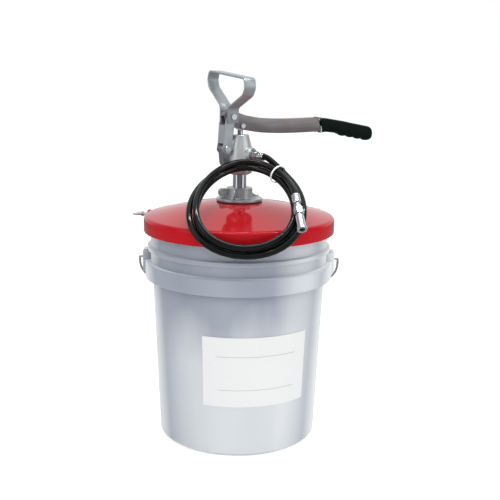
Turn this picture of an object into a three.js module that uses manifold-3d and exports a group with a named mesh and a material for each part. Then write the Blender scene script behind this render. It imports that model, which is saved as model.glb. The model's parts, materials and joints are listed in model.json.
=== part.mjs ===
// A hand-operated gear oil pump on its pail: a lever and swing link drive a piston rod down a
// tube that hangs through a conical steel cover, and a coiled hose carries the oil away.
//
// Units are millimetres. +Z is up and the origin is the centre of the pail's base. The lever
// points along +X, the pivot pins run along Y and the pump tube is on the Z axis.

import * as THREE from "three";
import { mergeVertices } from "three/addons/utils/BufferGeometryUtils.js";
import Module from "manifold-3d";

const wasm = await Module();
wasm.setup();

// ---------------------------------------------------------------- driving dimensions

const GAP = 0.3; // clearance kept between pieces that touch on the real object
const DEG = Math.PI / 180;
const Z_AXIS = new THREE.Vector3(0, 0, 1);
const TURN = -30; // degrees about Z from the lever's line to the line of the pail's ears

const PAIL = {
  height: 368, rimR: 151, neckR: 146, shoulderR: 142.8, shoulderZ: 268, baseR: 131, footZ: 3.5, wall: 2.2,
  floor: 4,
};
const LABEL = { z0: 85.4, z1: 200.5, from: -112.6, to: -39.2, thick: 0.4, steps: 20 };
const EAR = { z: 298, out: 158.5, width: 34, low: 276, high: 312, holeR: 2.7 };
const BAIL = { wireR: 2, halfSpan: 166, arm: 60, reach: 190, drop: 36, gripR: 9 };

const LID = {
  skirtR: 157, skirtZ: 345, shoulderZ: 370.4, roundR: 6, crownR: 100, crownZ: 383.4, seatZ: 392.6, seatR: 44,
  sheet: 1.5,
};
const RIM_SCREW = { z: 361, angles: [133, 13], r: 2.9 };

const FLANGE = { z0: 394.4, z1: 399, r: 38, clampR: 21.2, topZ: 416, pitchR: 31, screws: 3, turn: -5 };
const RIB = { turn: -15, inner: 18, outer: 34, topZ: 407.5, half: 1.2 }; // turned from each flange screw
const CLAMP = { angle: 152, boltS: 29, z: 407.5, earHalf: 7, earR: 6.4, slot: 2.4 };
const TUBE = { r: 11.1, bore: 9.3, bottomZ: 35.3, topZ: 455 };
const COLLAR = { r: 20, z0: 437.5, z1: 447 };
const HEAD = { z0: 447.3, coneZ: 462, coneR: 25.4, topZ: 502, topR: 13.8, chamberR: 8.3, lugHalf: 8 };
const PORT = { angle: -67, z: 469, face: 27, bossR: 13.5, seatS: 13, boreR: 4.6, threadR: 6.5 };

const PIVOT_A = { x: -20.4, z: 531.6 }; // lever and carrying handle on the swing link
const PIVOT_B = { x: -29.7, z: 479.7 }; // swing link on the head's lug
const PIN_C = { x: 0, z: 516.5 }; // lever on the piston rod
const PIN_R = 3; // pins at A and B
const ROD_PIN_R = 2.5;
const EYE_SLOT = 2.7; // how far the rod's eye lets the pin slide either way along X
const LEVER = { width: 15.6, sheet: 2.6, half: 11.7, tangHalf: 7.5 };
const GRIP = { half: 11.2, lobes: 4, lobeRun: 16.4, lobeRise: 2.97, valley: 3.7 };
const LINK = { inner: 17, sheet: 2.5, width: 22 };
const ROD_R = 4.5;
const ROD_TOP = 509; // the rod ends here and the eye's shank carries on
const STRAP = {
  width: 19.5, sheet: 3, tab: 11.4, bendZ: 548, cornerZ: 574, topZ: 599, halfSpan: 61, lean: 1, roll: 4.7,
};
const FOOT = { strainerZ: 8, seatZ: 30, socketZ: 46, r: 14, ballR: 5, seatR: 3.5, stopZ: 44.5 };
const PISTON = { z0: 60, r: 8.9, neckR: 6.5, ballR: 3.8, seatR: 2.6, seatZ: 65, topZ: 84, rodEndZ: 77 };

const HOSE = { r: 4.8, slotR: 7.1, tieTurn: 38, startTurn: 48, endTurn: 1128 };
const COIL = { u: 11.5, v: -104, z: 400.5, halfU: 79.9, halfV: 66, halfZ: 57.6, sag: 30 };
const NOZZLE = { from: [86.1, -128, 422.2], to: [94.7, -174.5, 379], length: 65, endR: 7.9, boreR: 4.4 };

// ---------------------------------------------------------------- materials

const finish = (color, roughness, metalness) =>
  new THREE.MeshStandardMaterial({ color, roughness, metalness });

const RED_PAINT = finish(0xc01a22, 0.12, 0.0);
const CAST_ZINC = finish(0x9a9ca0, 0.42, 0.9);
const ZINC_STEEL = finish(0xb4b8bc, 0.35, 0.95);
const BARE_STEEL = finish(0x9c9894, 0.4, 0.95);
const CHROME = finish(0xd8dadc, 0.12, 1.0);
const BLACK_RUBBER = finish(0x101212, 0.45, 0.0);
const BLACK_GRIP = finish(0x16181a, 0.5, 0.0);
const CLEAR_PLASTIC = finish(0xc8d0da, 0.3, 0.0);
const WHITE_PLASTIC = finish(0xf2f2f0, 0.45, 0.0);
const SEAL_RUBBER = finish(0x1c1a18, 0.7, 0.0);
const BRASS = finish(0xb08d4c, 0.35, 0.9);

// ---------------------------------------------------------------- solid helpers

// A three.js geometry as a closed manifold solid with its faces pointing out.
function solid(geometry) {
  const bare = geometry.index ? geometry.toNonIndexed() : geometry.clone();
  for (const name of Object.keys(bare.attributes)) {
    if (name !== "position") bare.deleteAttribute(name);
  }
  const merged = mergeVertices(bare, 1e-4);
  const index = merged.index.array;
  const kept = [];
  for (let i = 0; i < index.length; i += 3) {
    const [a, b, c] = [index[i], index[i + 1], index[i + 2]];
    if (a !== b && b !== c && c !== a) kept.push(a, b, c);
  }
  const build = (triangles) =>
    new wasm.Manifold(
      new wasm.Mesh({
        numProp: 3,
        vertProperties: new Float32Array(merged.attributes.position.array),
        triVerts: new Uint32Array(triangles),
      }),
    );
  const made = build(kept);
  if (made.volume() > 0) return made;
  for (let i = 0; i < kept.length; i += 3) {
    [kept[i + 1], kept[i + 2]] = [kept[i + 2], kept[i + 1]];
  }
  return build(kept);
}

const union = (...pieces) => pieces.reduce((a, b) => a.add(b));
const cut = (body, ...tools) => tools.reduce((a, b) => a.subtract(b), body);

// The three.js geometry of a manifold solid.
function geometryOf(body) {
  const m = body.getMesh();
  const position = new Float32Array(m.numVert * 3);
  for (let i = 0; i < m.numVert; i++) {
    position.set(m.vertProperties.subarray(i * m.numProp, i * m.numProp + 3), i * 3);
  }
  const geometry = new THREE.BufferGeometry();
  geometry.setAttribute("position", new THREE.BufferAttribute(position, 3));
  geometry.setIndex(new THREE.BufferAttribute(new Uint32Array(m.triVerts), 1));
  geometry.computeVertexNormals();
  return geometry;
}

// A named mesh made from a manifold solid.
function part(name, body, material) {
  const mesh = new THREE.Mesh(geometryOf(body), material);
  mesh.name = name;
  return mesh;
}

// A body of revolution about Z from [radius, z] points that start and end on the axis or close.
function turned(profile, segments = 32) {
  const points = profile.map(([r, z]) => new THREE.Vector2(r, z));
  return new THREE.LatheGeometry(points, segments).rotateX(Math.PI / 2);
}

// The same profile closed on itself, for a ring that doesn't reach the axis.
const ring = (profile, segments) => turned([...profile, profile[0]], segments);

// A cylinder about Z from z0 to z1.
function rodZ(r, z0, z1, segments = 24) {
  return new THREE.CylinderGeometry(r, r, z1 - z0, segments)
    .rotateX(Math.PI / 2)
    .translate(0, 0, (z0 + z1) / 2);
}

// A tube about Z.
const tubeZ = (outer, inner, z0, z1, segments = 32) =>
  ring([[inner, z0], [outer, z0], [outer, z1], [inner, z1]], segments);

// A cylinder along Y at (x, z), from y0 to y1. Six segments make a hexagon.
function rodY(r, x, z, y0, y1, segments = 16) {
  return new THREE.CylinderGeometry(r, r, y1 - y0, segments).translate(x, (y0 + y1) / 2, z);
}

// An outline in the X-Z plane extruded from y0 to y1.
function slabXZ(shape, y0, y1, curveSegments = 8) {
  return new THREE.ExtrudeGeometry(shape, { depth: y1 - y0, bevelEnabled: false, curveSegments })
    .rotateX(Math.PI / 2)
    .translate(0, y1, 0);
}

const boxAt = (sx, sy, sz, x, y, z) => new THREE.BoxGeometry(sx, sy, sz).translate(x, y, z);

// Outline of a band in the X-Z plane from [x, z, half height] centre points. Its start is round.
function bandShape(line) {
  const points = line.map(([x, z]) => new THREE.Vector2(x, z));
  const normals = points.map((p, i) => {
    const next = points[Math.min(i + 1, points.length - 1)];
    const along = next.clone().sub(points[Math.max(i - 1, 0)]).normalize();
    return new THREE.Vector2(-along.y, along.x);
  });
  const edge = (side) => points.map((p, i) => p.clone().addScaledVector(normals[i], side * line[i][2]));
  const lean = normals[0].angle();
  const shape = new THREE.Shape();
  shape.absarc(points[0].x, points[0].y, line[0][2], lean, lean + Math.PI, false);
  for (const p of edge(-1).slice(1)) shape.lineTo(p.x, p.y);
  for (const p of edge(1).slice(1).reverse()) shape.lineTo(p.x, p.y);
  shape.closePath();
  return shape;
}

// Closed outline of a strip of constant thickness along a line of points.
function stripShape(line, half) {
  const points = line.map(toVector2);
  const edge = (side) =>
    points.map((p, i) => {
      const back = p.clone().sub(points[Math.max(i - 1, 0)]);
      const on = points[Math.min(i + 1, points.length - 1)].clone().sub(p);
      const along = back.normalize().add(on.normalize()).normalize();
      const stretch = 1 / Math.max(0.7, Math.abs(along.dot(on.length() ? on : back)));
      return new THREE.Vector2(p.x - along.y * half * side * stretch, p.y + along.x * half * side * stretch);
    });
  return new THREE.Shape([...edge(1), ...edge(-1).reverse()]);
}

const toVector2 = ([x, y]) => new THREE.Vector2(x, y);

// Points of a smooth curve through a few control points.
const smooth = (points, count) =>
  new THREE.SplineCurve(points.map(([x, z]) => new THREE.Vector2(x, z)))
    .getPoints(count)
    .map((p) => [p.x, p.y]);

// A hexagon-headed bolt about +Z with its head's underside at z = 0 and the shank going down.
function hexBolt(shankR, length, headR, headHeight) {
  return union(
    solid(rodZ(headR, 0, headHeight, 6)),
    solid(rodZ(shankR, -length, 0.2, 16)),
  );
}

// A hexagon nut about Z, from z = 0 up.
const hexNut = (boreR, r, height) =>
  cut(solid(rodZ(r, 0, height, 6)), solid(rodZ(boreR, -1, height + 1, 16)));

// A cylinder along X from x0 to x1 at (y, z). Six segments make a hexagon.
function rodX(r, x0, x1, y, z, segments = 16) {
  return new THREE.CylinderGeometry(r, r, Math.abs(x1 - x0), segments)
    .rotateZ(Math.PI / 2)
    .translate((x0 + x1) / 2, y, z);
}

const ball = (r, z) => new THREE.SphereGeometry(r, 12, 8).translate(0, 0, z);

// A bar with semicircular ends in the X-Z plane, centred on (x, z).
function roundedBar(x, z, halfX, halfZ) {
  const run = halfX - halfZ;
  const shape = new THREE.Shape();
  shape.absarc(x + run, z, halfZ, -Math.PI / 2, Math.PI / 2, false);
  shape.absarc(x - run, z, halfZ, Math.PI / 2, 1.5 * Math.PI, false);
  shape.closePath();
  return shape;
}

// A round bar along a curve.
function tubeAlong(curve, r, steps, sides) {
  const section = new THREE.Shape().absarc(0, 0, r, 0, 2 * Math.PI, false);
  return new THREE.ExtrudeGeometry(section, {
    steps, extrudePath: curve, curveSegments: sides, bevelEnabled: false,
  });
}

// ---------------------------------------------------------------- pail and bail

function pailBody() {
  const { height, rimR, neckR, shoulderR, shoulderZ, baseR, footZ, wall, floor } = PAIL;
  const shell = turned([
    [0, 0], [baseR - 3, 0], [baseR, footZ], [shoulderR, shoulderZ],
    [shoulderR + 0.3, 292], [152.6, 292], [152.6, 269], [155, 269], [155, 294], [153.5, 295.5], [neckR, 296],
    [neckR, 314], [rimR, 315], [rimR, 321], [neckR, 322.5],
    [neckR, 352], [rimR, 353.5], [rimR, height - 2], [rimR - 2, height], [neckR - wall + 1, height],
    [neckR - wall, height - 3], [neckR - wall, 292], [shoulderR - wall, shoulderZ],
    [baseR - wall, floor], [0, floor],
  ], 40);
  const pieces = [solid(shell)];
  const holes = [];
  for (const side of [1, -1]) {
    const mid = (neckR + EAR.out) / 2 - 1;
    const tall = EAR.high - EAR.low;
    pieces.push(solid(boxAt(EAR.out - neckR + 2, EAR.width, tall, side * mid, 0, (EAR.low + EAR.high) / 2)));
    holes.push(solid(rodX(EAR.holeR, side * 150, side * 170, 0, EAR.z, 14)));
  }
  return part("pail_body", cut(union(...pieces), ...holes), CLEAR_PLASTIC);
}

// The paper label is a thin sheet that follows the pail's tapered wall.
function pailLabel() {
  const { z0, z1, from, to, thick, steps } = LABEL;
  const slope = (PAIL.shoulderR - PAIL.baseR) / (PAIL.shoulderZ - PAIL.footZ);
  const half = (((to - from) * DEG) / steps) / 2;
  const wallR = (z) => (PAIL.baseR + slope * (z - PAIL.footZ) + GAP) / Math.cos(half);
  const positions = [];
  const index = [];
  for (let i = 0; i <= steps; i++) {
    const a = (from + ((to - from) * i) / steps) * DEG;
    for (const [z, out] of [[z0, 0], [z0, thick], [z1, thick], [z1, 0]]) {
      const r = wallR(z) + out;
      positions.push(r * Math.cos(a), r * Math.sin(a), z);
    }
  }
  for (let i = 0; i < steps; i++) {
    for (let k = 0; k < 4; k++) {
      const [a, b] = [4 * i + k, 4 * i + ((k + 1) % 4)];
      index.push(a, b, b + 4, a, b + 4, a + 4);
    }
  }
  const e = 4 * steps;
  index.push(0, 2, 1, 0, 3, 2, e, e + 1, e + 2, e, e + 2, e + 3);
  const geometry = new THREE.BufferGeometry();
  geometry.setAttribute("position", new THREE.Float32BufferAttribute(positions, 3));
  geometry.setIndex(index);
  return part("pail_label", solid(geometry), WHITE_PLASTIC);
}

// A point of the bail's plane, which hangs BAIL.drop degrees below level behind the pail.
function bailPoint(along, out) {
  const drop = BAIL.drop * DEG;
  return new THREE.Vector3(along, out * Math.cos(drop), EAR.z - out * Math.sin(drop));
}

function bailWire() {
  const { halfSpan, arm, reach } = BAIL;
  const side = [
    [-150.5, 0], [-halfSpan + 5, 0], [-halfSpan + 1, 2], [-halfSpan, 8], [-halfSpan, arm],
    [-143, 118], [-83, 172], [-40, 188.6],
  ];
  const all = [...side, [0, reach], ...side.slice().reverse().map(([a, b]) => [-a, b])];
  const curve = new THREE.CatmullRomCurve3(all.map(([a, b]) => bailPoint(a, b)), false, "centripetal");
  return part("bail_wire", solid(tubeAlong(curve, BAIL.wireR, 44, 3)), ZINC_STEEL);
}

function bailGrip() {
  const half = 38;
  const bore = BAIL.wireR + 1.6;
  const grip = ring([
    [bore, -half], [BAIL.gripR - 1, -half], [BAIL.gripR, 3 - half], [BAIL.gripR - 0.8, 0],
    [BAIL.gripR, half - 3], [BAIL.gripR - 1, half], [bore, half],
  ], 16);
  const mesh = part("bail_grip", solid(grip.rotateY(Math.PI / 2)), WHITE_PLASTIC);
  mesh.position.copy(bailPoint(0, BAIL.reach - 0.8));
  return mesh;
}

// ---------------------------------------------------------------- cover

function lid() {
  const { skirtR, skirtZ, shoulderZ, roundR, crownR, crownZ, seatZ, seatR, sheet } = LID;
  const bend = (offset) =>
    [0, 45, 90].map((a) => [
      skirtR - roundR + (roundR - offset) * Math.cos(a * DEG),
      shoulderZ - roundR + (roundR - offset) * Math.sin(a * DEG),
    ]);
  const holeR = TUBE.r + 3;
  const shell = ring([
    [holeR, seatZ - sheet], [seatR, seatZ - sheet], [crownR, crownZ - sheet], ...bend(sheet).reverse(),
    [skirtR - sheet, skirtZ], [skirtR, skirtZ], ...bend(0), [crownR, crownZ], [seatR, seatZ], [holeR, seatZ],
  ], 48);
  const rimHoles = RIM_SCREW.angles.map((angle) =>
    solid(rodX(RIM_SCREW.r + 0.5, 150, 165, 0, RIM_SCREW.z, 12).rotateZ(angle * DEG)),
  );
  return part("lid", cut(solid(shell), ...rimHoles, ...flangeHoles()), RED_PAINT);
}

const flangeAngles = Array.from({ length: FLANGE.screws }, (_, i) => FLANGE.turn + (360 / FLANGE.screws) * i);

// Drills for the flange's screws, through the flange, the gasket and the cover.
const flangeHoles = () =>
  flangeAngles.map((a) => solid(rodZ(2.9, 385, 401, 12).translate(FLANGE.pitchR, 0, 0).rotateZ(a * DEG)));

// Wing screw that draws the cover on to the pail's rim. Its tip points to the axis.
function rimScrew(i) {
  const tip = PAIL.rimR + GAP;
  const shank = rodX(RIM_SCREW.r, tip, tip + 22, 0, RIM_SCREW.z, 12);
  const collar = rodX(4.4, tip + 19, tip + 24, 0, RIM_SCREW.z, 14);
  const wing = new THREE.Shape();
  wing.moveTo(tip + 21, -3.5);
  wing.bezierCurveTo(tip + 24, -10, tip + 30, -13, tip + 35, -10);
  wing.bezierCurveTo(tip + 39, -7, tip + 33, -3, tip + 31, 0);
  wing.bezierCurveTo(tip + 33, 3, tip + 39, 7, tip + 35, 10);
  wing.bezierCurveTo(tip + 30, 13, tip + 24, 10, tip + 21, 3.5);
  wing.closePath();
  const blade = new THREE.ExtrudeGeometry(wing, { depth: 3, bevelEnabled: false, curveSegments: 5 })
    .translate(0, 0, RIM_SCREW.z - 1.5);
  const mesh = part(`rim_screw_${i + 1}`, union(solid(shank), solid(collar), solid(blade)), ZINC_STEEL);
  mesh.rotation.z = RIM_SCREW.angles[i] * DEG;
  return mesh;
}

// Nut welded on the outside of the skirt for the wing screw.
function rimNut(i) {
  const block = rodX(8, LID.skirtR - 2, LID.skirtR + 6, 0, RIM_SCREW.z, 6);
  const skirt = rodZ(LID.skirtR + GAP, 340, 380, 48);
  const bore = rodX(RIM_SCREW.r + 0.4, 150, 170, 0, RIM_SCREW.z, 12);
  const mesh = part(`rim_nut_${i + 1}`, cut(solid(block), solid(skirt), solid(bore)), ZINC_STEEL);
  mesh.rotation.z = RIM_SCREW.angles[i] * DEG;
  return mesh;
}

// ---------------------------------------------------------------- clamp flange

function flangeGasket() {
  const plate = tubeZ(FLANGE.r - 0.6, TUBE.r + 1.6, LID.seatZ + GAP, FLANGE.z0 - GAP, 28);
  return part("flange_gasket", cut(solid(plate), ...flangeHoles()), SEAL_RUBBER);
}

function clampFlange() {
  const { z0, z1, r, clampR, topZ } = FLANGE;
  const body = turned([
    [0, z0], [r - 0.8, z0], [r, z0 + 0.8], [r, z1 - 1], [r - 1, z1], [clampR + 3, z1], [clampR + 0.6, z1 + 2],
    [clampR, topZ - 1.2], [clampR - 1.2, topZ], [0, topZ],
  ], 28);
  const pieces = [solid(body)];
  const rib = new THREE.Shape(
    [[RIB.inner, z1 - 1], [RIB.outer, z1 - 1], [clampR, RIB.topZ], [RIB.inner, RIB.topZ]].map(toVector2));
  for (const a of flangeAngles) {
    pieces.push(solid(slabXZ(rib, -RIB.half, RIB.half).rotateZ((a + RIB.turn) * DEG)));
  }
  const ear = new THREE.Shape();
  ear.moveTo(RIB.inner, CLAMP.z - CLAMP.earR);
  ear.absarc(CLAMP.boltS, CLAMP.z, CLAMP.earR, -Math.PI / 2, Math.PI / 2, false);
  ear.lineTo(RIB.inner, CLAMP.z + CLAMP.earR);
  ear.closePath();
  pieces.push(solid(slabXZ(ear, -CLAMP.earHalf, CLAMP.earHalf).rotateZ(CLAMP.angle * DEG)));
  const slot = boxAt(40, CLAMP.slot, topZ - z1 + 1, 30, 0, (topZ + z1) / 2 + 1);
  const boltHole = rodY(3.3, CLAMP.boltS, CLAMP.z, -20, 20, 14);
  const made = cut(
    union(...pieces),
    solid(rodZ(TUBE.r + GAP, 380, 430, 24)),
    solid(slot.rotateZ(CLAMP.angle * DEG)),
    solid(boltHole.rotateZ(CLAMP.angle * DEG)),
    ...flangeHoles(),
  );
  return part("clamp_flange", made, CAST_ZINC);
}

function clampBoltSet() {
  const group = new THREE.Group();
  group.rotation.z = CLAMP.angle * DEG;
  const bolt = part("clamp_bolt", hexBolt(3, 2 * CLAMP.earHalf + 7, 5.8, 4), ZINC_STEEL);
  bolt.rotation.x = -Math.PI / 2;
  bolt.position.set(CLAMP.boltS, CLAMP.earHalf + GAP, CLAMP.z);
  const nut = part("clamp_nut", hexNut(3 + GAP, 5.8, 5), ZINC_STEEL);
  nut.rotation.x = Math.PI / 2;
  nut.position.set(CLAMP.boltS, -CLAMP.earHalf - GAP, CLAMP.z);
  group.add(bolt, nut);
  return group;
}

function flangeFasteners() {
  const group = new THREE.Group();
  flangeAngles.forEach((a, i) => {
    const [x, y] = [FLANGE.pitchR * Math.cos(a * DEG), FLANGE.pitchR * Math.sin(a * DEG)];
    const screw = part(`flange_screw_${i + 1}`, hexBolt(2.5, 13, 4.2, 3), ZINC_STEEL);
    screw.position.set(x, y, FLANGE.z1 + GAP);
    screw.rotation.z = 0.4 * (i + 1);
    const nut = part(`flange_nut_${i + 1}`, hexNut(2.5 + GAP, 4.4, 4), ZINC_STEEL);
    nut.position.set(x, y, LID.seatZ - LID.sheet - GAP - 4);
    group.add(screw, nut);
  });
  return group;
}

// ---------------------------------------------------------------- barrel: tube, head and foot

function pumpTube() {
  const wall = tubeZ(TUBE.r, TUBE.bore, TUBE.bottomZ, TUBE.topZ, 24);
  const stop = rodY(1.9, 0, FOOT.stopZ, -20, 20, 10);
  return part("pump_tube", cut(solid(wall), solid(stop)), CHROME);
}

function tubeCollar() {
  const { r, z0, z1 } = COLLAR;
  const bore = TUBE.r + GAP;
  const body = ring([
    [bore, z0], [r - 3, z0], [r - 1, z0 + 1], [r, z0 + 3], [r, z1 - 1], [r - 1, z1], [bore, z1],
  ], 28);
  return part("tube_collar", solid(body), CAST_ZINC);
}

// The head is a cast cone with the link's lug on one side and the outlet boss on the other.
function pumpHead() {
  const { z0, coneZ, coneR, topZ, topR, chamberR, lugHalf } = HEAD;
  const cone = turned([
    [0, z0], [coneR - 1.5, z0], [coneR, z0 + 1.5], [coneR, coneZ], [topR + 0.8, topZ - 1], [topR, topZ],
    [0, topZ],
  ], 28);
  const lug = new THREE.Shape();
  lug.moveTo(-10, 452);
  lug.lineTo(-31, 452);
  lug.lineTo(-34, 457);
  lug.lineTo(-35, PIVOT_B.z);
  lug.absarc(PIVOT_B.x, PIVOT_B.z, 6.6, Math.PI, Math.PI / 3, true);
  lug.lineTo(-14, 496);
  lug.lineTo(-10.5, 501);
  lug.lineTo(-5, 501);
  lug.closePath();
  const boss = portTurned([[0, 8], [PORT.bossR - 1.5, 8], [PORT.bossR, 19], [PORT.bossR, PORT.face - 1],
    [PORT.bossR - 1, PORT.face], [0, PORT.face]], 28);
  const made = cut(
    union(solid(cone), solid(slabXZ(lug, -lugHalf, lugHalf)), solid(boss)),
    solid(rodZ(TUBE.r + GAP, z0 - 5, TUBE.topZ + GAP, 24)),
    solid(rodZ(chamberR, TUBE.topZ, 492, 20)),
    solid(rodZ(ROD_R + 0.4, 480, 520, 18)),
    solid(rodY(PIN_R + GAP, PIVOT_B.x, PIVOT_B.z, -20, 20, 16)),
    solid(portTurned([[0, 2], [2.4, 2], [2.4, PORT.seatS], [PORT.boreR, PORT.seatS], [PORT.boreR, 22],
      [PORT.threadR + GAP, 22], [PORT.threadR + GAP, 40], [0, 40]], 20)),
  );
  return part("pump_head", made, CAST_ZINC);
}

// A turned geometry whose axis is the outlet port's, with heights as distances from the tube's axis.
const portTurned = (profile, segments) => onPort(turned(profile, segments));

const onPort = (geometry) =>
  geometry.rotateY(Math.PI / 2).rotateZ(PORT.angle * DEG).translate(0, 0, PORT.z);

function rodSealSet() {
  const group = new THREE.Group();
  const seal = tubeZ(HEAD.chamberR - GAP, ROD_R + 0.3, 486, 491.7, 20);
  const retainer = tubeZ(HEAD.chamberR - GAP, ROD_R + 0.6, 483, 485.7, 20);
  group.add(part("rod_seal", solid(seal), SEAL_RUBBER), part("seal_retainer", solid(retainer), BRASS));
  return group;
}

function footValve() {
  const group = new THREE.Group();
  const { strainerZ, seatZ, socketZ, r, ballR, seatR, stopZ } = FOOT;
  const base = 20.3;
  const socketR = TUBE.r + GAP;
  const bodyMesh = ring([
    [seatR, base], [r - 1, base], [r, base + 1], [r, socketZ - 2], [r - 1, socketZ], [socketR, socketZ],
    [socketR, TUBE.bottomZ - GAP], [7, TUBE.bottomZ - GAP], [7, seatZ], [seatR, seatZ],
  ], 20);
  group.add(part("foot_valve_body", solid(bodyMesh), BRASS));
  const cup = ring([
    [0.01, strainerZ], [r - 1, strainerZ], [r, strainerZ + 1], [r, base - GAP], [r - 1.6, base - GAP],
    [r - 1.6, strainerZ + 1.6], [0.01, strainerZ + 1.6],
  ], 20);
  const slots = [0, 60, 120].map((a) => solid(boxAt(40, 4, 6, 0, 0, 14).rotateZ(a * DEG)));
  const disc = solid(rodZ(3, strainerZ, strainerZ + 1.6, 12));
  group.add(part("foot_strainer", cut(solid(cup).add(disc), ...slots), BARE_STEEL));
  const rest = seatZ + Math.sqrt(ballR ** 2 - seatR ** 2) + GAP;
  group.add(part("foot_valve_ball", solid(ball(ballR, rest)), CHROME));
  group.add(part("ball_stop_pin", solid(rodY(1.5, 0, stopZ, -TUBE.r, TUBE.r, 10)), BARE_STEEL));
  return group;
}

// ---------------------------------------------------------------- rod and piston

function pistonRod() {
  const rod = rodZ(ROD_R, PISTON.rodEndZ, ROD_TOP, 20);
  return part("piston_rod", solid(rod), CHROME);
}

// The eye's slot is longer than the pin, so the rod stays on its axis while the link swings.
function rodEye() {
  const half = 3.9;
  const slotHalf = EYE_SLOT + ROD_PIN_R + GAP;
  const slotHigh = ROD_PIN_R + 0.8;
  const outer = roundedBar(PIN_C.x, PIN_C.z, slotHalf + 3, slotHigh + 3.2);
  const inner = roundedBar(PIN_C.x, PIN_C.z, slotHalf, slotHigh);
  const shank = rodZ(ROD_R, ROD_TOP + GAP, PIN_C.z - 5, 20);
  const limit = boxAt(40, 2 * half, 40, 0, 0, PIN_C.z);
  const eye = union(solid(slabXZ(outer, -half, half)), solid(shank).intersect(solid(limit)));
  return part("rod_eye", cut(eye, solid(slabXZ(inner, -10, 10))), ZINC_STEEL);
}

function pistonSet() {
  const group = new THREE.Group();
  const { z0, r, neckR, ballR, seatR, seatZ, topZ } = PISTON;
  const portZ = 73.2;
  const crown = 67;
  const body = ring([
    [seatR, z0], [r - 0.8, z0], [r, z0 + 0.8], [r, crown], [neckR, crown], [neckR, topZ], [ROD_R + GAP, topZ],
    [ROD_R + GAP, PISTON.rodEndZ - 1], [5.2, PISTON.rodEndZ - 1], [5.2, seatZ], [seatR, seatZ],
  ], 18);
  const ports = [0, 90].map((a) => solid(rodY(1.7, 0, portZ, -20, 20, 10).rotateZ(a * DEG)));
  group.add(part("piston", cut(solid(body), ...ports), BRASS));
  const cup = ring([
    [neckR + GAP, crown + GAP], [r - 0.2, crown + GAP], [r + 0.1, crown + 3.6], [r - 1, crown + 3.6],
    [neckR + 1, crown + 2.4], [neckR + GAP, crown + 2.4],
  ], 18);
  group.add(part("piston_cup", solid(cup), SEAL_RUBBER));
  const rest = seatZ + Math.sqrt(ballR ** 2 - seatR ** 2) + GAP;
  group.add(part("piston_ball", solid(ball(ballR, rest)), CHROME));
  return group;
}

// ---------------------------------------------------------------- swing link

// Channel whose web faces away from the lever, with ears round the pins at both ends.
function swingLink() {
  const { inner, sheet, width } = LINK;
  const half = width / 2;
  const side = new THREE.Shape();
  const earR = 9.5;
  side.moveTo(PIVOT_A.x + earR, PIVOT_A.z);
  side.absarc(PIVOT_A.x, PIVOT_A.z, earR, 0, Math.PI * 0.94, false);
  side.lineTo(-33.1, 519);
  side.lineTo(-35.4, 489);
  side.lineTo(-37.2, PIVOT_B.z);
  side.absarc(PIVOT_B.x, PIVOT_B.z, 7.5, Math.PI, 0.1, false);
  side.lineTo(-19.4, 495);
  side.lineTo(-16, 523);
  side.closePath();
  const hollow = new THREE.Shape([[-37, 545], [-37, 518.5], [-33.1 + sheet, 518.5], [-35.4 + sheet, 489],
    [-45, 489], [-45, 460], [0, 460], [0, 545]].map(toVector2));
  const made = cut(
    solid(slabXZ(side, -half, half, 10)),
    solid(slabXZ(hollow, -inner / 2, inner / 2)),
    solid(rodY(PIN_R + GAP, PIVOT_A.x, PIVOT_A.z, -20, 20, 16)),
    solid(rodY(PIN_R + GAP, PIVOT_B.x, PIVOT_B.z, -20, 20, 16)),
  );
  return part("swing_link", made, ZINC_STEEL);
}

// A pin with a hexagon head at the front (-Y) and a nut at the back.
function pinAndNut(boltName, nutName, r, at, front, back, headR = 5.2) {
  const group = new THREE.Group();
  const bolt = part(boltName, hexBolt(r, back - front + 5.5, headR, 3.2), ZINC_STEEL);
  bolt.rotation.x = Math.PI / 2;
  bolt.position.set(at.x, front - GAP, at.z);
  const nut = part(nutName, hexNut(r + GAP, headR, 4), ZINC_STEEL);
  nut.rotation.x = -Math.PI / 2;
  nut.position.set(at.x, back + GAP, at.z);
  group.add(bolt, nut);
  return group;
}

// ---------------------------------------------------------------- lever and grip

// Centre line of the lever, and the same as [x, z, half height] with the grip's tang.
const LEVER_BEND = [
  [-20.4, 530.6], [-2, 523.4], [17.8, 519.2], [36.8, 516.5], [71, 514.6], [110, 514.5], [148, 515.3],
];
const LEVER_LINE = [
  ...smooth(LEVER_BEND, 14).map(([x, z]) => [x, z, LEVER.half]),
  [154, 514.6, LEVER.half],
  [162, 513.4, LEVER.tangHalf],
  [238, 500.2, LEVER.tangHalf],
];

function lever() {
  const { width, sheet } = LEVER;
  const half = width / 2;
  const outer = bandShape(LEVER_LINE);
  const inner = bandShape(LEVER_LINE.map(([x, z, h]) => [x, z - sheet - 6, h + 6]));
  const made = cut(
    solid(slabXZ(outer, -half, half)),
    solid(slabXZ(inner, sheet - half, half - sheet)),
    solid(boxAt(30, width - 2 * sheet, 40, PIVOT_A.x - 10, 0, PIVOT_A.z - 20)),
    solid(boxAt(20, width - 2 * sheet, 60, 238, 0, 500)),
    solid(rodY(PIN_R + GAP, PIVOT_A.x, PIVOT_A.z, -20, 20, 16)),
    solid(rodY(ROD_PIN_R + GAP, PIN_C.x, PIN_C.z, -20, 20, 14)),
  );
  return part("lever", made, BARE_STEEL);
}

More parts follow.
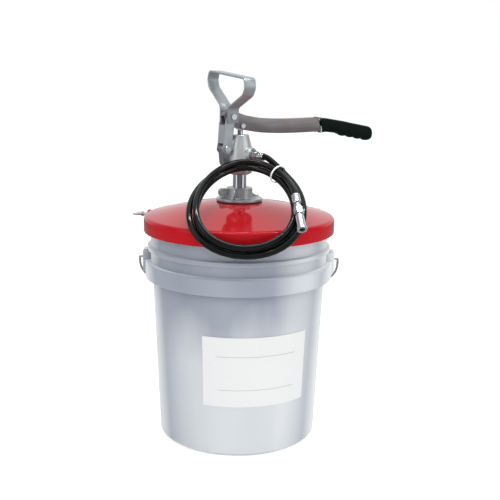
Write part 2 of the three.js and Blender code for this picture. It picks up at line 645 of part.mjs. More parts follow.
// Side outline: a slanting mouth, a straight back, a domed end and finger lobes below.
function gripShape() {
  const shape = new THREE.Shape();
  shape.moveTo(145, 530);
  shape.lineTo(151, 528.8);
  shape.lineTo(253, 510.3);
  shape.bezierCurveTo(262, 508.5, 267, 503, 266, 497);
  shape.bezierCurveTo(264.5, 490, 259, 485.5, 250.3, 485.2);
  for (let i = 0; i < GRIP.lobes - 1; i++) {
    const [x, z] = [250.3 - GRIP.lobeRun * i, 485.2 + GRIP.lobeRise * i];
    shape.bezierCurveTo(x - 4.5, z + 0.4, x - 7.4, z + 1.6, x - 8.2, z + GRIP.valley);
    shape.bezierCurveTo(x - 9.2, z + 1.9, x - 12, z + 2.1, x - GRIP.lobeRun, z + GRIP.lobeRise);
  }
  shape.bezierCurveTo(196.5, 494.9, 192, 496.5, 189, 499);
  shape.lineTo(166, 502);
  shape.lineTo(153.7, 500.8);
  shape.lineTo(154.8, 521.5);
  shape.lineTo(144.5, 527.4);
  shape.closePath();
  return shape;
}

function leverGrip() {
  const body = slabXZ(gripShape(), -GRIP.half, GRIP.half, 5);
  const tang = LEVER_LINE.slice(-8).map(([x, z, h]) => [x, z, h + 0.5]);
  tang[tang.length - 1][0] += 0.8;
  const hollow = slabXZ(bandShape(tang), -LEVER.width / 2 - GAP, LEVER.width / 2 + GAP);
  return part("lever_grip", cut(solid(body), solid(hollow)), BLACK_GRIP);
}

// ---------------------------------------------------------------- carrying handle

// Flat strip bent into a triangle, with its two tabs outside the link's ears on the pin at A.
// Above the tabs the triangle is bent over to the front by STRAP.roll.
function carryHandle() {
  const { width, sheet, tab, bendZ, cornerZ, topZ, halfSpan } = STRAP;
  const mid = tab + sheet / 2;
  const low = PIVOT_A.z - 9.5;
  const sideLine = [
    [mid, low], [mid, bendZ - 3], [mid + 1.8, bendZ], [halfSpan - 6, cornerZ - 6], [halfSpan - 1, cornerZ],
    [halfSpan, cornerZ + 6], [halfSpan - 1.6, topZ - 9], [halfSpan - 7, topZ - 3],
    [halfSpan - 16, topZ - 1.5],
  ];
  const roll = STRAP.roll * DEG;
  const rolled = ([y, z]) => {
    const up = z - bendZ;
    if (up < 0) return [y, z];
    return [y * Math.cos(roll) - up * Math.sin(roll), bendZ + y * Math.sin(roll) + up * Math.cos(roll)];
  };
  const level = [...sideLine, ...sideLine.slice().reverse().map(([y, z]) => [-y, z])];
  const line = level.map(rolled);
  const outline = stripShape(line, sheet / 2);
  const strip = new THREE.ExtrudeGeometry(outline, { depth: width, bevelEnabled: false })
    .rotateX(Math.PI / 2)
    .rotateZ(Math.PI / 2)
    .translate(PIVOT_A.x - width / 2, 0, 0);
  const made = cut(solid(strip), solid(rodY(PIN_R + GAP, PIVOT_A.x, PIVOT_A.z, -30, 30, 16)));
  const mesh = part("carry_handle", made, ZINC_STEEL);
  const holder = new THREE.Group();
  mesh.position.set(-PIVOT_A.x, 0, -PIVOT_A.z);
  holder.add(mesh);
  holder.position.set(PIVOT_A.x, 0, PIVOT_A.z);
  holder.rotation.y = STRAP.lean * DEG;
  return holder;
}

// ---------------------------------------------------------------- outlet, hose and nozzle

function outletSet() {
  const group = new THREE.Group();
  const face = PORT.face;
  const washerR = 9.4;
  const washer = [[PORT.threadR + 0.6, face + GAP], [washerR, face + GAP], [washerR, face + 1.5],
    [PORT.threadR + 0.6, face + 1.5]];
  group.add(part("outlet_washer", solid(onPort(ring(washer, 24))), SEAL_RUBBER));
  const hexStart = face + 1.8;
  const hexEnd = face + 8.6;
  const spigot = ring(
    [[2.6, 24.8], [PORT.threadR, 24.8], [PORT.threadR, hexStart + 1], [2.6, hexStart + 1]], 20);
  const hex = rodZ(8.8, hexStart, hexEnd, 6);
  const barb = ring([[2.6, hexEnd - 1], [3.6, hexEnd - 1], [3.6, face + 14], [2.6, face + 14]], 16);
  const through = solid(onPort(rodZ(2.6, 20, 60, 14)));
  const fitting = union(solid(onPort(spigot)), solid(onPort(hex)).subtract(through), solid(onPort(barb)));
  group.add(part("outlet_fitting", fitting, ZINC_STEEL));
  const ferrule = ring([[3.9, hexEnd + GAP], [6, hexEnd + GAP], [6.4, hexEnd + 2], [6.4, face + 20],
    [6, face + 22], [HOSE.r + GAP, face + 22], [HOSE.r + GAP, face + 15], [3.9, face + 15]], 20);
  group.add(part("hose_ferrule", solid(onPort(ferrule)), ZINC_STEEL));
  const rest = PORT.seatS + Math.sqrt(3.6 ** 2 - 2.4 ** 2) + GAP;
  group.add(part("check_ball", solid(onPort(ball(3.6, rest))), CHROME));
  group.add(checkSpring());
  return group;
}

function checkSpring() {
  const turns = 3;
  const [r, start, end] = [3.75, 20.4, 24.2];
  const points = Array.from({ length: turns * 8 + 1 }, (_, i) => {
    const a = (i * Math.PI) / 4;
    return new THREE.Vector3(r * Math.cos(a), r * Math.sin(a), start + ((end - start) * i) / (turns * 8));
  });
  const coil = tubeAlong(new THREE.CatmullRomCurve3(points), 0.4, turns * 12, 3);
  return part("check_spring", solid(onPort(coil)), BARE_STEEL);
}

// Centre of the hose bundle's tilted loop at `t` degrees, clockwise from the top, with its
// directions. The loop is laid out on the line of the pail's ears and then turned with it.
function bundleAt(t) {
  const a = t * DEG;
  const c = Math.cos(a);
  const fromPail = (x, y, z) => new THREE.Vector3(x, y, z).applyAxisAngle(Z_AXIS, TURN * DEG);
  const { u, v, z, halfU, halfV, halfZ, sag } = COIL;
  const centre = fromPail(u + halfU * Math.sin(a), v + halfV * c - sag * (1 - c * c), z + halfZ * c);
  const lean = halfV + 2 * sag * c;
  const tangent = fromPail(halfU * c, -Math.sin(a) * lean, -Math.sin(a) * halfZ).normalize();
  const slope = new THREE.Vector3(0, lean, halfZ).normalize();
  const outward = fromPail(Math.sin(a), c * slope.y, c * slope.z);
  outward.addScaledVector(tangent, -outward.dot(tangent)).normalize();
  const normal = new THREE.Vector3().crossVectors(tangent, outward).normalize();
  return { centre, outward, normal, tangent };
}

// The hose takes one of four places round the bundle's centre and moves a quarter round each turn.
function strandAt(t) {
  const { centre, outward, normal } = bundleAt(t);
  const phase = (16 - (90 * (t - HOSE.tieTurn)) / 360) * DEG;
  return centre
    .addScaledVector(outward, HOSE.slotR * Math.cos(phase))
    .addScaledVector(normal, HOSE.slotR * Math.sin(phase));
}

const portDirection = new THREE.Vector3(Math.cos(PORT.angle * DEG), Math.sin(PORT.angle * DEG), 0);
const hoseStart = portDirection.clone().multiplyScalar(PORT.face + 15.5).setZ(PORT.z);
const nozzleBase = new THREE.Vector3(...NOZZLE.from).applyAxisAngle(Z_AXIS, TURN * DEG);
const nozzleDirection = new THREE.Vector3(...NOZZLE.to)
  .applyAxisAngle(Z_AXIS, TURN * DEG)
  .sub(nozzleBase)
  .normalize();

// A geometry built along +Z, moved to start at `from` and point along `direction`.
function alongDirection(geometry, from, direction) {
  const turn = new THREE.Quaternion().setFromUnitVectors(new THREE.Vector3(0, 0, 1), direction);
  return geometry.applyQuaternion(turn).translate(from.x, from.y, from.z);
}

function hose() {
  const points = [hoseStart, hoseStart.clone().addScaledVector(portDirection, 10)];
  for (let t = HOSE.startTurn; t <= HOSE.endTurn; t += 15) points.push(strandAt(t));
  points.push(nozzleBase.clone().addScaledVector(nozzleDirection, -7));
  points.push(nozzleBase.clone().addScaledVector(nozzleDirection, 9));
  const path = new THREE.CatmullRomCurve3(points, false, "centripetal");
  const startBore = rodZ(3.9, PORT.face + 10, PORT.face + 26, 16);
  const endBore = alongDirection(rodZ(3.6, -6, 20, 16), nozzleBase, nozzleDirection);
  const tube = solid(tubeAlong(path, HOSE.r, 130, 4));
  return part("hose", cut(tube, solid(onPort(startBore)), solid(endBore)), BLACK_RUBBER);
}

// Crimped ferrule, hexagon nut and straight nozzle on the hose's free end.
function nozzleSet() {
  const group = new THREE.Group();
  const { length, endR, boreR } = NOZZLE;
  const place = (geometry) => solid(alongDirection(geometry, nozzleBase, nozzleDirection));
  const ferruleBore = HOSE.r + GAP;
  const ferrule = ring([
    [ferruleBore, -0.3], [6, -0.3], [6.6, 0.8], [6.6, 14], [6, 16], [3.9, 16], [3.9, 9.3], [ferruleBore, 9.3],
  ], 20);
  group.add(part("nozzle_ferrule", place(ferrule), ZINC_STEEL));
  const stem = ring([
    [2.4, -4], [3.3, -4], [3.3, 22], [6.2, 22], [6.2, 25], [3.3, 25], [3.3, 31], [2.4, 31],
  ], 20);
  group.add(part("nozzle_stem", place(stem), ZINC_STEEL));
  const nut = rodZ(7.8, 25.3, 36, 6);
  const nutBore = rodZ(3.6, 20, 40, 16);
  group.add(part("nozzle_nut", cut(place(nut), place(nutBore)), ZINC_STEEL));
  const pipe = ring([[boreR, 36.3], [5.6, 36.3], [5.6, 40], [6.5, 41], [6.5, length - 5], [endR, length - 4],
    [endR, length - 0.6], [endR - 0.6, length], [boreR, length]], 24);
  group.add(part("nozzle", place(pipe), ZINC_STEEL));
  return group;
}

function zipTie() {
  const { centre, tangent } = bundleAt(HOSE.tieTurn);
  const inner = HOSE.slotR + HOSE.r + 1.8;
  const outer = inner + 1.1;
  const halfWidth = 1.4;
  const band = ring([[inner, -halfWidth], [outer, -halfWidth], [outer, halfWidth], [inner, halfWidth]], 28);
  const head = boxAt(4.4, 5.5, 4.2, inner + 2.4, 0, 0);
  const tie = geometryOf(union(solid(band), solid(head)));
  return part("zip_tie", solid(alongDirection(tie, centre, tangent)), WHITE_PLASTIC);
}

// ---------------------------------------------------------------- assembly

const pump = new THREE.Group();

const pail = new THREE.Group();
pail.rotation.z = TURN * DEG;
pail.add(pailBody(), pailLabel(), bailWire(), bailGrip());

const cover = new THREE.Group();
cover.add(lid(), flangeGasket(), clampFlange(), clampBoltSet(), flangeFasteners());
RIM_SCREW.angles.forEach((_, i) => cover.add(rimScrew(i), rimNut(i)));

const barrel = new THREE.Group();
barrel.add(pumpTube(), tubeCollar(), pumpHead(), rodSealSet(), footValve(), outletSet());
barrel.add(hose(), nozzleSet(), zipTie());

const plunger = new THREE.Group();
plunger.add(pistonRod(), rodEye(), pistonSet());

const half = LEVER.width / 2;
const linkage = new THREE.Group();
linkage.add(
  swingLink(),
  lever(),
  leverGrip(),
  carryHandle(),
  pinAndNut("pivot_bolt", "pivot_nut", PIN_R, PIVOT_A, -STRAP.tab - STRAP.sheet, STRAP.tab + STRAP.sheet),
  pinAndNut("link_bolt", "link_nut", PIN_R, PIVOT_B, -LINK.width / 2, LINK.width / 2),
  pinAndNut("rod_pin", "rod_pin_clip", ROD_PIN_R, PIN_C, -half, half, 4.2),
);

pump.add(pail, cover, barrel, plunger, linkage);

export default pump;
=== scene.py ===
"""Looks of a lever-operated gear oil pump on its pail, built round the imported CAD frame.

Shapes are laid out in millimetres in the CAD's own frame (+Z up, the pump tube on the Z axis, the
lever along +X) and become metres when a piece is made. Every piece rides the CAD body it belongs to.
"""

import json
from math import atan2, copysign, cos, degrees, pi, radians, sin, sqrt, tan

import bmesh
import bpy
from mathutils import Matrix, Vector


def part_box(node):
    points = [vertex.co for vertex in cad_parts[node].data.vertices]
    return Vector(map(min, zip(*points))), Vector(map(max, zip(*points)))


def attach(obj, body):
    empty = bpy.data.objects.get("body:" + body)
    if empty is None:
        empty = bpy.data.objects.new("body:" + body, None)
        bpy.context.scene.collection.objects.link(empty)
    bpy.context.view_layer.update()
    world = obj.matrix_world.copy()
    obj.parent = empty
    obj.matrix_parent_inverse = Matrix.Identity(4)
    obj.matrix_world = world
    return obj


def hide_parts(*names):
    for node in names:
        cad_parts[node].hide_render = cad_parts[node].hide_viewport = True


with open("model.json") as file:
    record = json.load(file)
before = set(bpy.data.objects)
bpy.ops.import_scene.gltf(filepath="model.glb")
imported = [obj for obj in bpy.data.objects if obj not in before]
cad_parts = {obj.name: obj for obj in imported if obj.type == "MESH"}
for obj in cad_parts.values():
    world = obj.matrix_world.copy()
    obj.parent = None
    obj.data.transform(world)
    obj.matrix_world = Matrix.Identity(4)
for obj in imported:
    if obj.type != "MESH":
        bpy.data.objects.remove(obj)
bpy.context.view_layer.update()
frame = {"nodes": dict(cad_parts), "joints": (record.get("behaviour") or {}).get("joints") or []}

MM = 0.001
TURN = radians(-30)  # from the lever's line to the line of the pail's ears
ROUND = 96  # sides of a smooth turned piece
scene = bpy.context.scene


# ------------------------------------------------------------------ reading the frame

def low_high(node):
    """Lowest and highest corner of a CAD node, in millimetres."""
    low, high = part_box(node)
    return Vector(low) / MM, Vector(high) / MM


def joint(name):
    return next(j for j in frame["joints"] if j["name"] == name)


def joint_point(name):
    return Vector(joint(name)["pos_m"]) / MM


PIVOT_A = joint_point("lever_swing")
PIVOT_B = joint_point("link_swing")
PORT = Vector(joint("outlet_ball_lift")["axis"])
PORT_Z = sum((corner.z for corner in low_high("check_ball")), 0.0) / 2
NOZZLE_FROM = joint_point("hose_nut_spin")
NOZZLE_AXIS = Vector(joint("hose_nut_spin")["axis"])
PIN_C = sum(low_high("rod_pin"), Vector()) / 2
EAR_Z = joint_point("bail_swing").z
SCREW_ANGLES = [atan2(*reversed(joint(f"rim_screw_{i}_back_off")["axis"][:2])) for i in (1, 2)]


# ------------------------------------------------------------------ mesh helpers

def point_ring(bm, points):
    return [bm.verts.new(p) for p in points]


def bridge(bm, first, second):
    """Quads, or triangles to a pole, between two loops of the same length."""
    count = max(len(first), len(second))
    for i in range(count):
        corners = [first[i % len(first)], first[(i + 1) % len(first)],
                   second[(i + 1) % len(second)], second[i % len(second)]]
        unique = list(dict.fromkeys(corners))
        if len(unique) > 2:
            bm.faces.new(unique)


def lathe(profile, sides=ROUND):
    """Body of revolution about Z from (radius, height) points that run between two points of the
    axis, or that close on themselves."""
    bm = bmesh.new()
    loops = []
    for radius, height in profile:
        if radius < 1e-6:
            loops.append(point_ring(bm, [(0, 0, height)]))
            continue
        turns = [2 * pi * i / sides for i in range(sides)]
        loops.append(point_ring(bm, [(radius * cos(a), radius * sin(a), height) for a in turns]))
    for first, second in zip(loops, loops[1:]):
        bridge(bm, first, second)
    if len(loops[0]) > 1:
        bridge(bm, loops[-1], loops[0])
    return bm


def fillet(points, radius, closed=False, steps=4):
    """The same outline with each corner rounded."""
    points = [Vector(p) for p in points]
    count = len(points)
    out = []
    for i, p in enumerate(points):
        if not closed and i in (0, count - 1):
            out.append(p)
            continue
        back = points[i - 1] - p
        ahead = points[(i + 1) % count] - p
        turn = back.angle(ahead)
        if turn > radians(172) or turn < 1e-3:
            out.append(p)
            continue
        reach = min(radius / tan(turn / 2), 0.45 * back.length, 0.45 * ahead.length)
        a = p + back.normalized() * reach
        b = p + ahead.normalized() * reach
        for k in range(steps + 1):
            t = k / steps
            out.append(a * (1 - t) ** 2 + p * 2 * t * (1 - t) + b * t ** 2)
    return out


def turned(profile, radius=0.4, sides=ROUND):
    """A turned body whose corners are rounded. The profile starts and ends on the axis."""
    return lathe([tuple(p) for p in fillet(profile, radius)], sides)


def ring(profile, radius=0.4, sides=ROUND):
    """A turned body with a hole through it and rounded corners."""
    return lathe([tuple(p) for p in fillet(profile, radius, closed=True)], sides)


def prism(outline, start, end, place):
    """An outline of 2D points extruded from `start` to `end`; place(a, b, depth) gives 3D points."""
    bm = bmesh.new()
    first = point_ring(bm, [place(a, b, start) for a, b in outline])
    second = point_ring(bm, [place(a, b, end) for a, b in outline])
    bridge(bm, first, second)
    bm.faces.new(first)
    bm.faces.new(second)
    return bm


def side_plate(outline, y0, y1):
    """An outline in the lever's plane, extruded across it."""
    return prism(outline, y0, y1, lambda a, b, depth: (a, depth, b))


def box(x0, x1, y0, y1, z0, z1):
    return prism([(x0, y0), (x1, y0), (x1, y1), (x0, y1)], z0, z1, lambda a, b, depth: (a, b, depth))


def hexagon(radius, z0, z1):
    """Hexagonal prism about Z with its ends chamfered as a turned nut's are."""
    flats = [(radius * cos(pi * i / 3), radius * sin(pi * i / 3)) for i in range(6)]
    prism_body = prism(flats, z0, z1, lambda a, b, depth: (a, b, depth))
    inner = radius * 0.9
    edge = radius * 0.14
    outer = radius * 1.02
    cone = lathe([(0, z0 - 0.01), (inner, z0 - 0.01), (outer, z0 + edge), (outer, z1 - edge),
                  (inner, z1 + 0.01), (0, z1 + 0.01)], 48)
    return combine("INTERSECT", prism_body, cone)


def circle(radius, count):
    return [(radius * cos(2 * pi * i / count), radius * sin(2 * pi * i / count))
            for i in range(count)]


def sweep(path, section, across=None):
    """A section of 2D points carried along a path. `across` fixes the section's first axis;
    without it the frame turns as little as it can."""
    bm = bmesh.new()
    count = len(path)
    loops = []
    side = None
    for i, p in enumerate(path):
        along = (path[min(i + 1, count - 1)] - path[max(i - 1, 0)]).normalized()
        if across is not None:
            side = across - along * across.dot(along)
        elif side is None:
            side = along.orthogonal()
        else:
            side = side - along * side.dot(along)
        side.normalize()
        up = along.cross(side)
        loops.append(point_ring(bm, [p + side * a + up * b for a, b in section]))
    for first, second in zip(loops, loops[1:]):
        bridge(bm, first, second)
    bm.faces.new(loops[0])
    bm.faces.new(loops[-1])
    return bm


def spline(points, steps=8):
    """Centripetal Catmull-Rom curve through the points, as a list of vectors."""
    points = [Vector(p) for p in points]
    padded = [2 * points[0] - points[1], *points, 2 * points[-1] - points[-2]]
    out = []
    for p0, p1, p2, p3 in zip(padded, padded[1:], padded[2:], padded[3:]):
        t1 = (p1 - p0).length ** 0.5
        t2 = t1 + (p2 - p1).length ** 0.5
        t3 = t2 + (p3 - p2).length ** 0.5
        for k in range(steps):
            t = t1 + (t2 - t1) * k / steps
            a1 = p0 * ((t1 - t) / t1) + p1 * (t / t1)
            a2 = p1 * ((t2 - t) / (t2 - t1)) + p2 * ((t - t1) / (t2 - t1))
            a3 = p2 * ((t3 - t) / (t3 - t2)) + p3 * ((t - t2) / (t3 - t2))
            b1 = a1 * ((t2 - t) / t2) + a2 * (t / t2)
            b2 = a2 * ((t3 - t) / (t3 - t1)) + a3 * ((t - t1) / (t3 - t1))
            out.append(b1 * ((t2 - t) / (t2 - t1)) + b2 * ((t - t1) / (t2 - t1)))
    return [*out, points[-1]]


def moved(bm, matrix):
    bmesh.ops.transform(bm, matrix=matrix, verts=bm.verts)
    return bm


def aimed(bm, origin, direction):
    """A body built along +Z from its origin, moved to start at `origin` and point along `direction`."""
    turn = Vector(direction).to_track_quat("Z", "Y").to_matrix().to_4x4()
    return moved(bm, Matrix.Translation(origin) @ turn)


def about_z(bm, angle):
    return moved(bm, Matrix.Rotation(angle, 4, "Z"))


def soften(bm, width, steps=2, angle=28):
    """Rounds every edge sharper than `angle`."""
    bmesh.ops.recalc_face_normals(bm, faces=bm.faces)
    sharp = [e for e in bm.edges if e.is_manifold and e.calc_face_angle(0) > radians(angle)]
    bmesh.ops.bevel(bm, geom=sharp, offset=width, segments=steps, profile=0.5, affect="EDGES",
                    clamp_overlap=True)
    return bm


def scratch_object(bm):
    bmesh.ops.recalc_face_normals(bm, faces=bm.faces)
    mesh = bpy.data.meshes.new("scratch")
    bm.to_mesh(mesh)
    bm.free()
    obj = bpy.data.objects.new("scratch", mesh)
    scene.collection.objects.link(obj)
    return obj


def evaluated(obj, helpers=()):
    """The object's mesh after its modifiers, as a new bmesh. The scratch objects are deleted."""
    bpy.context.view_layer.update()
    result = bpy.data.meshes.new_from_object(obj.evaluated_get(bpy.context.evaluated_depsgraph_get()))
    bm = bmesh.new()
    bm.from_mesh(result)
    bpy.data.meshes.remove(result)
    for used in (obj, *helpers):
        bpy.data.meshes.remove(used.data)
    return bm


def combine(operation, base, *tools):
    """Joins or cuts solids: operation is UNION, DIFFERENCE or INTERSECT."""
    obj = scratch_object(base)
    helpers = [scratch_object(tool) for tool in tools]
    for helper in helpers:
        modifier = obj.modifiers.new("part", "BOOLEAN")
        modifier.operation = operation
        modifier.object = helper
        modifier.solver = "EXACT"
    return evaluated(obj, helpers)


def cast_skin(bm, voxel, passes):
    """Rounds a joined solid the way a casting's corners are, by remeshing and smoothing it."""
    obj = scratch_object(bm)
    remesh = obj.modifiers.new("skin", "REMESH")
    remesh.mode = "VOXEL"
    remesh.voxel_size = voxel
    smooth = obj.modifiers.new("soft", "SMOOTH")
    smooth.factor = 0.5
    smooth.iterations = passes
    return evaluated(obj)


def piece(name, bm, look, body, *stands_for, finish, sharp=35):
    """Makes a scene object from a body in millimetres, parents it to the empty of its CAD body and hides
    the CAD nodes it stands for.
    """
    bmesh.ops.recalc_face_normals(bm, faces=bm.faces)
    bmesh.ops.scale(bm, vec=(MM, MM, MM), verts=bm.verts)
    for face in bm.faces:
        face.smooth = True
    mesh = bpy.data.meshes.new(name)
    bm.to_mesh(mesh)
    bm.free()
    mesh.set_sharp_from_angle(angle=radians(sharp))
    mesh.materials.append(look)
    obj = bpy.data.objects.new(name, mesh)
    scene.collection.objects.link(obj)
    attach(obj, body)
    if stands_for:
        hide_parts(*stands_for)


# ------------------------------------------------------------------ material helpers

def feed(tree, socket, value):
    """Links another node's output to a socket, or sets the socket's own value."""
    if isinstance(value, bpy.types.NodeSocket):
        tree.links.new(value, socket)
    else:
        socket.default_value = value


class Look:
    """A small builder for one procedural material, with object coordinates in metres."""

    def __init__(self, name, metallic=0.0):
        self.material = bpy.data.materials.new(name)
        self.material.use_nodes = True
        self.tree = self.material.node_tree
        self.shader = self.tree.nodes["Principled BSDF"]
        self.shader.inputs["Metallic"].default_value = metallic
        self.coords = self.tree.nodes.new("ShaderNodeTexCoord").outputs["Object"]

    def add(self, kind, **inputs):
        node = self.tree.nodes.new(kind)
        for key, value in inputs.items():
            feed(self.tree, node.inputs[key.replace("_", " ")], value)
        return node

    def link(self, output, key):
        self.tree.links.new(output, self.shader.inputs[key])

    def stretched(self, scale):
        mapping = self.add("ShaderNodeMapping", Vector=self.coords)
        mapping.inputs["Scale"].default_value = scale
        return mapping.outputs["Vector"]

    def noise(self, scale, detail=3.0, stretch=(1, 1, 1)):
        return self.add("ShaderNodeTexNoise", Vector=self.stretched(stretch), Scale=scale,
                        Detail=detail).outputs["Fac"]

    def spread(self, value, low, high, start=0.3, end=0.7):
        """Maps a 0..1 value to the range low..high between start and end."""
        node = self.add("ShaderNodeMapRange", Value=value)
        for key, number in (("From Min", start), ("From Max", end), ("To Min", low), ("To Max", high)):
            node.inputs[key].default_value = number
        return node.outputs["Result"]

    def mix(self, value, first, second):
        node = self.tree.nodes.new("ShaderNodeMix")
        node.data_type = "RGBA"
        self.tree.links.new(value, node.inputs["Factor"])
        for key, colour in ((6, first), (7, second)):
            if isinstance(colour, bpy.types.NodeSocket):
                self.tree.links.new(colour, node.inputs[key])
            else:
                node.inputs[key].default_value = (*colour, 1)
        return node.outputs[2]

    def bump(self, height, strength, distance):
        node = self.add("ShaderNodeBump", Height=height, Strength=strength, Distance=distance)
        self.link(node.outputs["Normal"], "Normal")

    def set(self, **values):
        for key, value in values.items():
            self.shader.inputs[key.replace("_", " ")].default_value = value


def painted_red():
    look = Look("red_paint")
    look.link(look.mix(look.noise(14), (0.375, 0.005, 0.010), (0.42, 0.008, 0.014)), "Base Color")
    look.link(look.spread(look.noise(40), 0.04, 0.075), "Roughness")
    look.set(Specular_IOR_Level=0.2)
    look.bump(look.noise(20, 2.0), 0.12, 0.0006)
    return look.material


def cast_metal():
    look = Look("cast_zinc", 0.8)
    mottle = look.noise(90, 4.0)
    look.link(look.mix(mottle, (0.40, 0.41, 0.43), (0.56, 0.57, 0.59)), "Base Color")
    look.link(look.spread(look.noise(160, 4.0), 0.28, 0.42), "Roughness")
    look.bump(look.noise(700, 3.0), 0.12, 0.0002)
    return look.material


def head_metal():
    """The head's casting is paler than the clamp's, partly painted light for the highlight it catches, and
    has painted shade on its lug.
    """
    look = Look("pale_lit_casting", 0.75)
    # partly painted light: this paler copy of the cast zinc stands in for the highlight the head catches
    pale_and_lit = look.mix(look.noise(90, 4.0), (0.50, 0.51, 0.52), (0.68, 0.69, 0.69))
    along_lever = look.add("ShaderNodeSeparateXYZ", Vector=look.coords).outputs["X"]
    # painted shade: the lug is painted darker from 16 mm out along -X, where it sits in shade
    painted_lug_shade = look.spread(along_lever, 1, 0, -0.024, -0.016)
    look.link(look.mix(painted_lug_shade, pale_and_lit, (0.24, 0.25, 0.27)), "Base Color")
    look.link(look.spread(look.noise(160, 4.0), 0.3, 0.42), "Roughness")
    look.bump(look.noise(700, 3.0), 0.12, 0.0002)
    return look.material


def zinc_plated():
    look = Look("zinc_plate", 0.95)
    look.link(look.mix(look.noise(120, 3.0), (0.56, 0.58, 0.61), (0.70, 0.72, 0.74)), "Base Color")
    look.link(look.spread(look.noise(200, 2.0), 0.18, 0.26), "Roughness")
    return look.material


def strip_steel():
    look = Look("strip_steel", 0.72)
    rolled = look.noise(60, 3.0, (1, 5, 1))
    look.link(look.mix(rolled, (0.32, 0.35, 0.37), (0.44, 0.47, 0.49)), "Base Color")
    look.link(look.spread(look.noise(160, 3.0), 0.36, 0.48), "Roughness")
    look.bump(look.noise(600, 3.0, (1, 4, 1)), 0.06, 0.0001)
    return look.material


def lever_steel():
    """Pressed steel with rolling marks along the bar and a faint brown tint in patches."""
    look = Look("lever_steel", 0.9)
    marks = look.noise(60, 5.0, (0.5, 1, 5))
    grey = look.mix(marks, (0.185, 0.175, 0.185), (0.30, 0.285, 0.29))
    tint = look.spread(look.noise(22, 2.0), 0.0, 0.7, 0.42, 0.7)
    look.link(look.mix(tint, grey, (0.24, 0.175, 0.145)), "Base Color")
    look.link(look.spread(look.noise(180, 3.0, (0.3, 1, 3)), 0.29, 0.42), "Roughness")
    look.bump(look.noise(800, 3.0, (0.2, 1, 3)), 0.12, 0.0001)
    return look.material


def bright_chrome():
    look = Look("chrome", 1.0)
    streaks = look.noise(200, 2.0, (1, 1, 0.1))
    look.link(look.mix(streaks, (0.50, 0.51, 0.53), (0.62, 0.63, 0.65)), "Base Color")
    look.link(look.spread(look.noise(400, 3.0, (1, 1, 6)), 0.10, 0.2), "Roughness")
    return look.material


def brass():
    look = Look("brass", 1.0)
    look.set(Roughness=0.3)
    look.link(look.mix(look.noise(80), (0.55, 0.38, 0.14), (0.68, 0.50, 0.22)), "Base Color")
    return look.material


def hose_rubber():
    look = Look("hose_rubber")
    look.link(look.mix(look.noise(60), (0.002, 0.0025, 0.0025), (0.005, 0.006, 0.0055)), "Base Color")
    look.link(look.spread(look.noise(120, 2.0), 0.08, 0.13), "Roughness")
    look.set(Specular_IOR_Level=0.32)
    return look.material


def grip_rubber():
    look = Look("grip_rubber")
    look.link(look.mix(look.noise(90), (0.002, 0.005, 0.004), (0.004, 0.008, 0.006)), "Base Color")
    look.link(look.spread(look.noise(200, 2.0), 0.34, 0.46), "Roughness")
    look.set(Specular_IOR_Level=0.05)
    look.bump(look.noise(1200, 2.0), 0.1, 0.0002)
    return look.material


def seal_rubber():
    look = Look("seal_rubber")
    look.set(Roughness=0.6)
    look.link(look.mix(look.noise(200), (0.012, 0.011, 0.010), (0.03, 0.028, 0.026)), "Base Color")
    return look.material


def pail_plastic():
    """Frosted plastic: darker from about half its height up, with an uneven border, painted light on the
    right, painted dark bands near its sides and a painted pale reflection where its wall is seen edge on. A
    little of what is behind shows through."""
    look = Look("pail_plastic")
    cloud = look.noise(7, 2.0, (1, 1, 0.15))
    height = look.add("ShaderNodeSeparateXYZ", Vector=look.coords).outputs["Z"]
    wander = look.spread(look.noise(16, 2.0, (1, 1, 0.25)), -0.035, 0.035)
    wavy = look.add("ShaderNodeMath")
    feed(look.tree, wavy.inputs[0], height)
    feed(look.tree, wavy.inputs[1], wander)
    low = look.spread(wavy.outputs[0], 1, 0, 0.15, 0.25)
    dark = look.mix(low, (0.28, 0.31, 0.37), (0.56, 0.585, 0.61))
    light = look.mix(low, (0.37, 0.40, 0.46), (0.66, 0.68, 0.70))
    right = look.add("ShaderNodeVectorMath", Vector=look.coords)
    right.operation = "DOT_PRODUCT"
    right.inputs[1].default_value = (cos(TURN), sin(TURN), 0)
    # painted light: the right side of the pail is painted lighter
    painted_right_light = look.spread(right.outputs["Value"], 0, 0.9, 0.055, 0.115)
    body = look.mix(painted_right_light, look.mix(look.spread(cloud, 0, 1), dark, light), (0.76, 0.775, 0.78))
    edge_on = look.add("ShaderNodeLayerWeight", Blend=0.5).outputs["Facing"]
    # painted shade: darker bands where the wall turns towards the sides
    painted_side_bands = look.mix(look.spread(edge_on, 0, 0.7, 0.25, 0.55), body, (0.36, 0.395, 0.45))
    # painted reflection: near white where the wall is seen edge on
    look.link(look.mix(look.spread(edge_on, 0, 1, 0.58, 0.86), painted_side_bands, (0.95, 0.96, 0.97)), "Base Color")
    look.link(look.spread(look.noise(20, 2.0), 0.29, 0.36), "Roughness")
    clear = look.add("ShaderNodeBsdfTransparent", Color=(0.95, 0.97, 1.0, 1))
    share = look.add("ShaderNodeMixShader", Fac=0.12)
    output = look.tree.nodes["Material Output"]
    look.tree.links.new(look.shader.outputs[0], share.inputs[1])
    look.tree.links.new(clear.outputs[0], share.inputs[2])
    look.tree.links.new(share.outputs[0], output.inputs["Surface"])
    return look.material


def label_paper():
    look = Look("label_paper")
    look.set(Roughness=0.5)
    look.link(look.mix(look.noise(300, 4.0), (0.64, 0.64, 0.64), (0.69, 0.69, 0.685)), "Base Color")
    look.bump(look.noise(2500, 3.0), 0.1, 0.0001)
    return look.material


def rule_ink():
    look = Look("rule_ink")
    look.set(Roughness=0.5)
    look.link(look.mix(look.noise(400, 2.0), (0.40, 0.40, 0.41), (0.50, 0.50, 0.51)), "Base Color")
    return look.material


def white_nylon(name):
    look = Look(name)
    look.link(look.mix(look.noise(70), (0.80, 0.81, 0.80), (0.88, 0.88, 0.87)), "Base Color")
    look.set(Roughness=0.4, Subsurface_Weight=0.1)
    look.bump(look.noise(600, 2.0), 0.1, 0.0001)
    return look.material


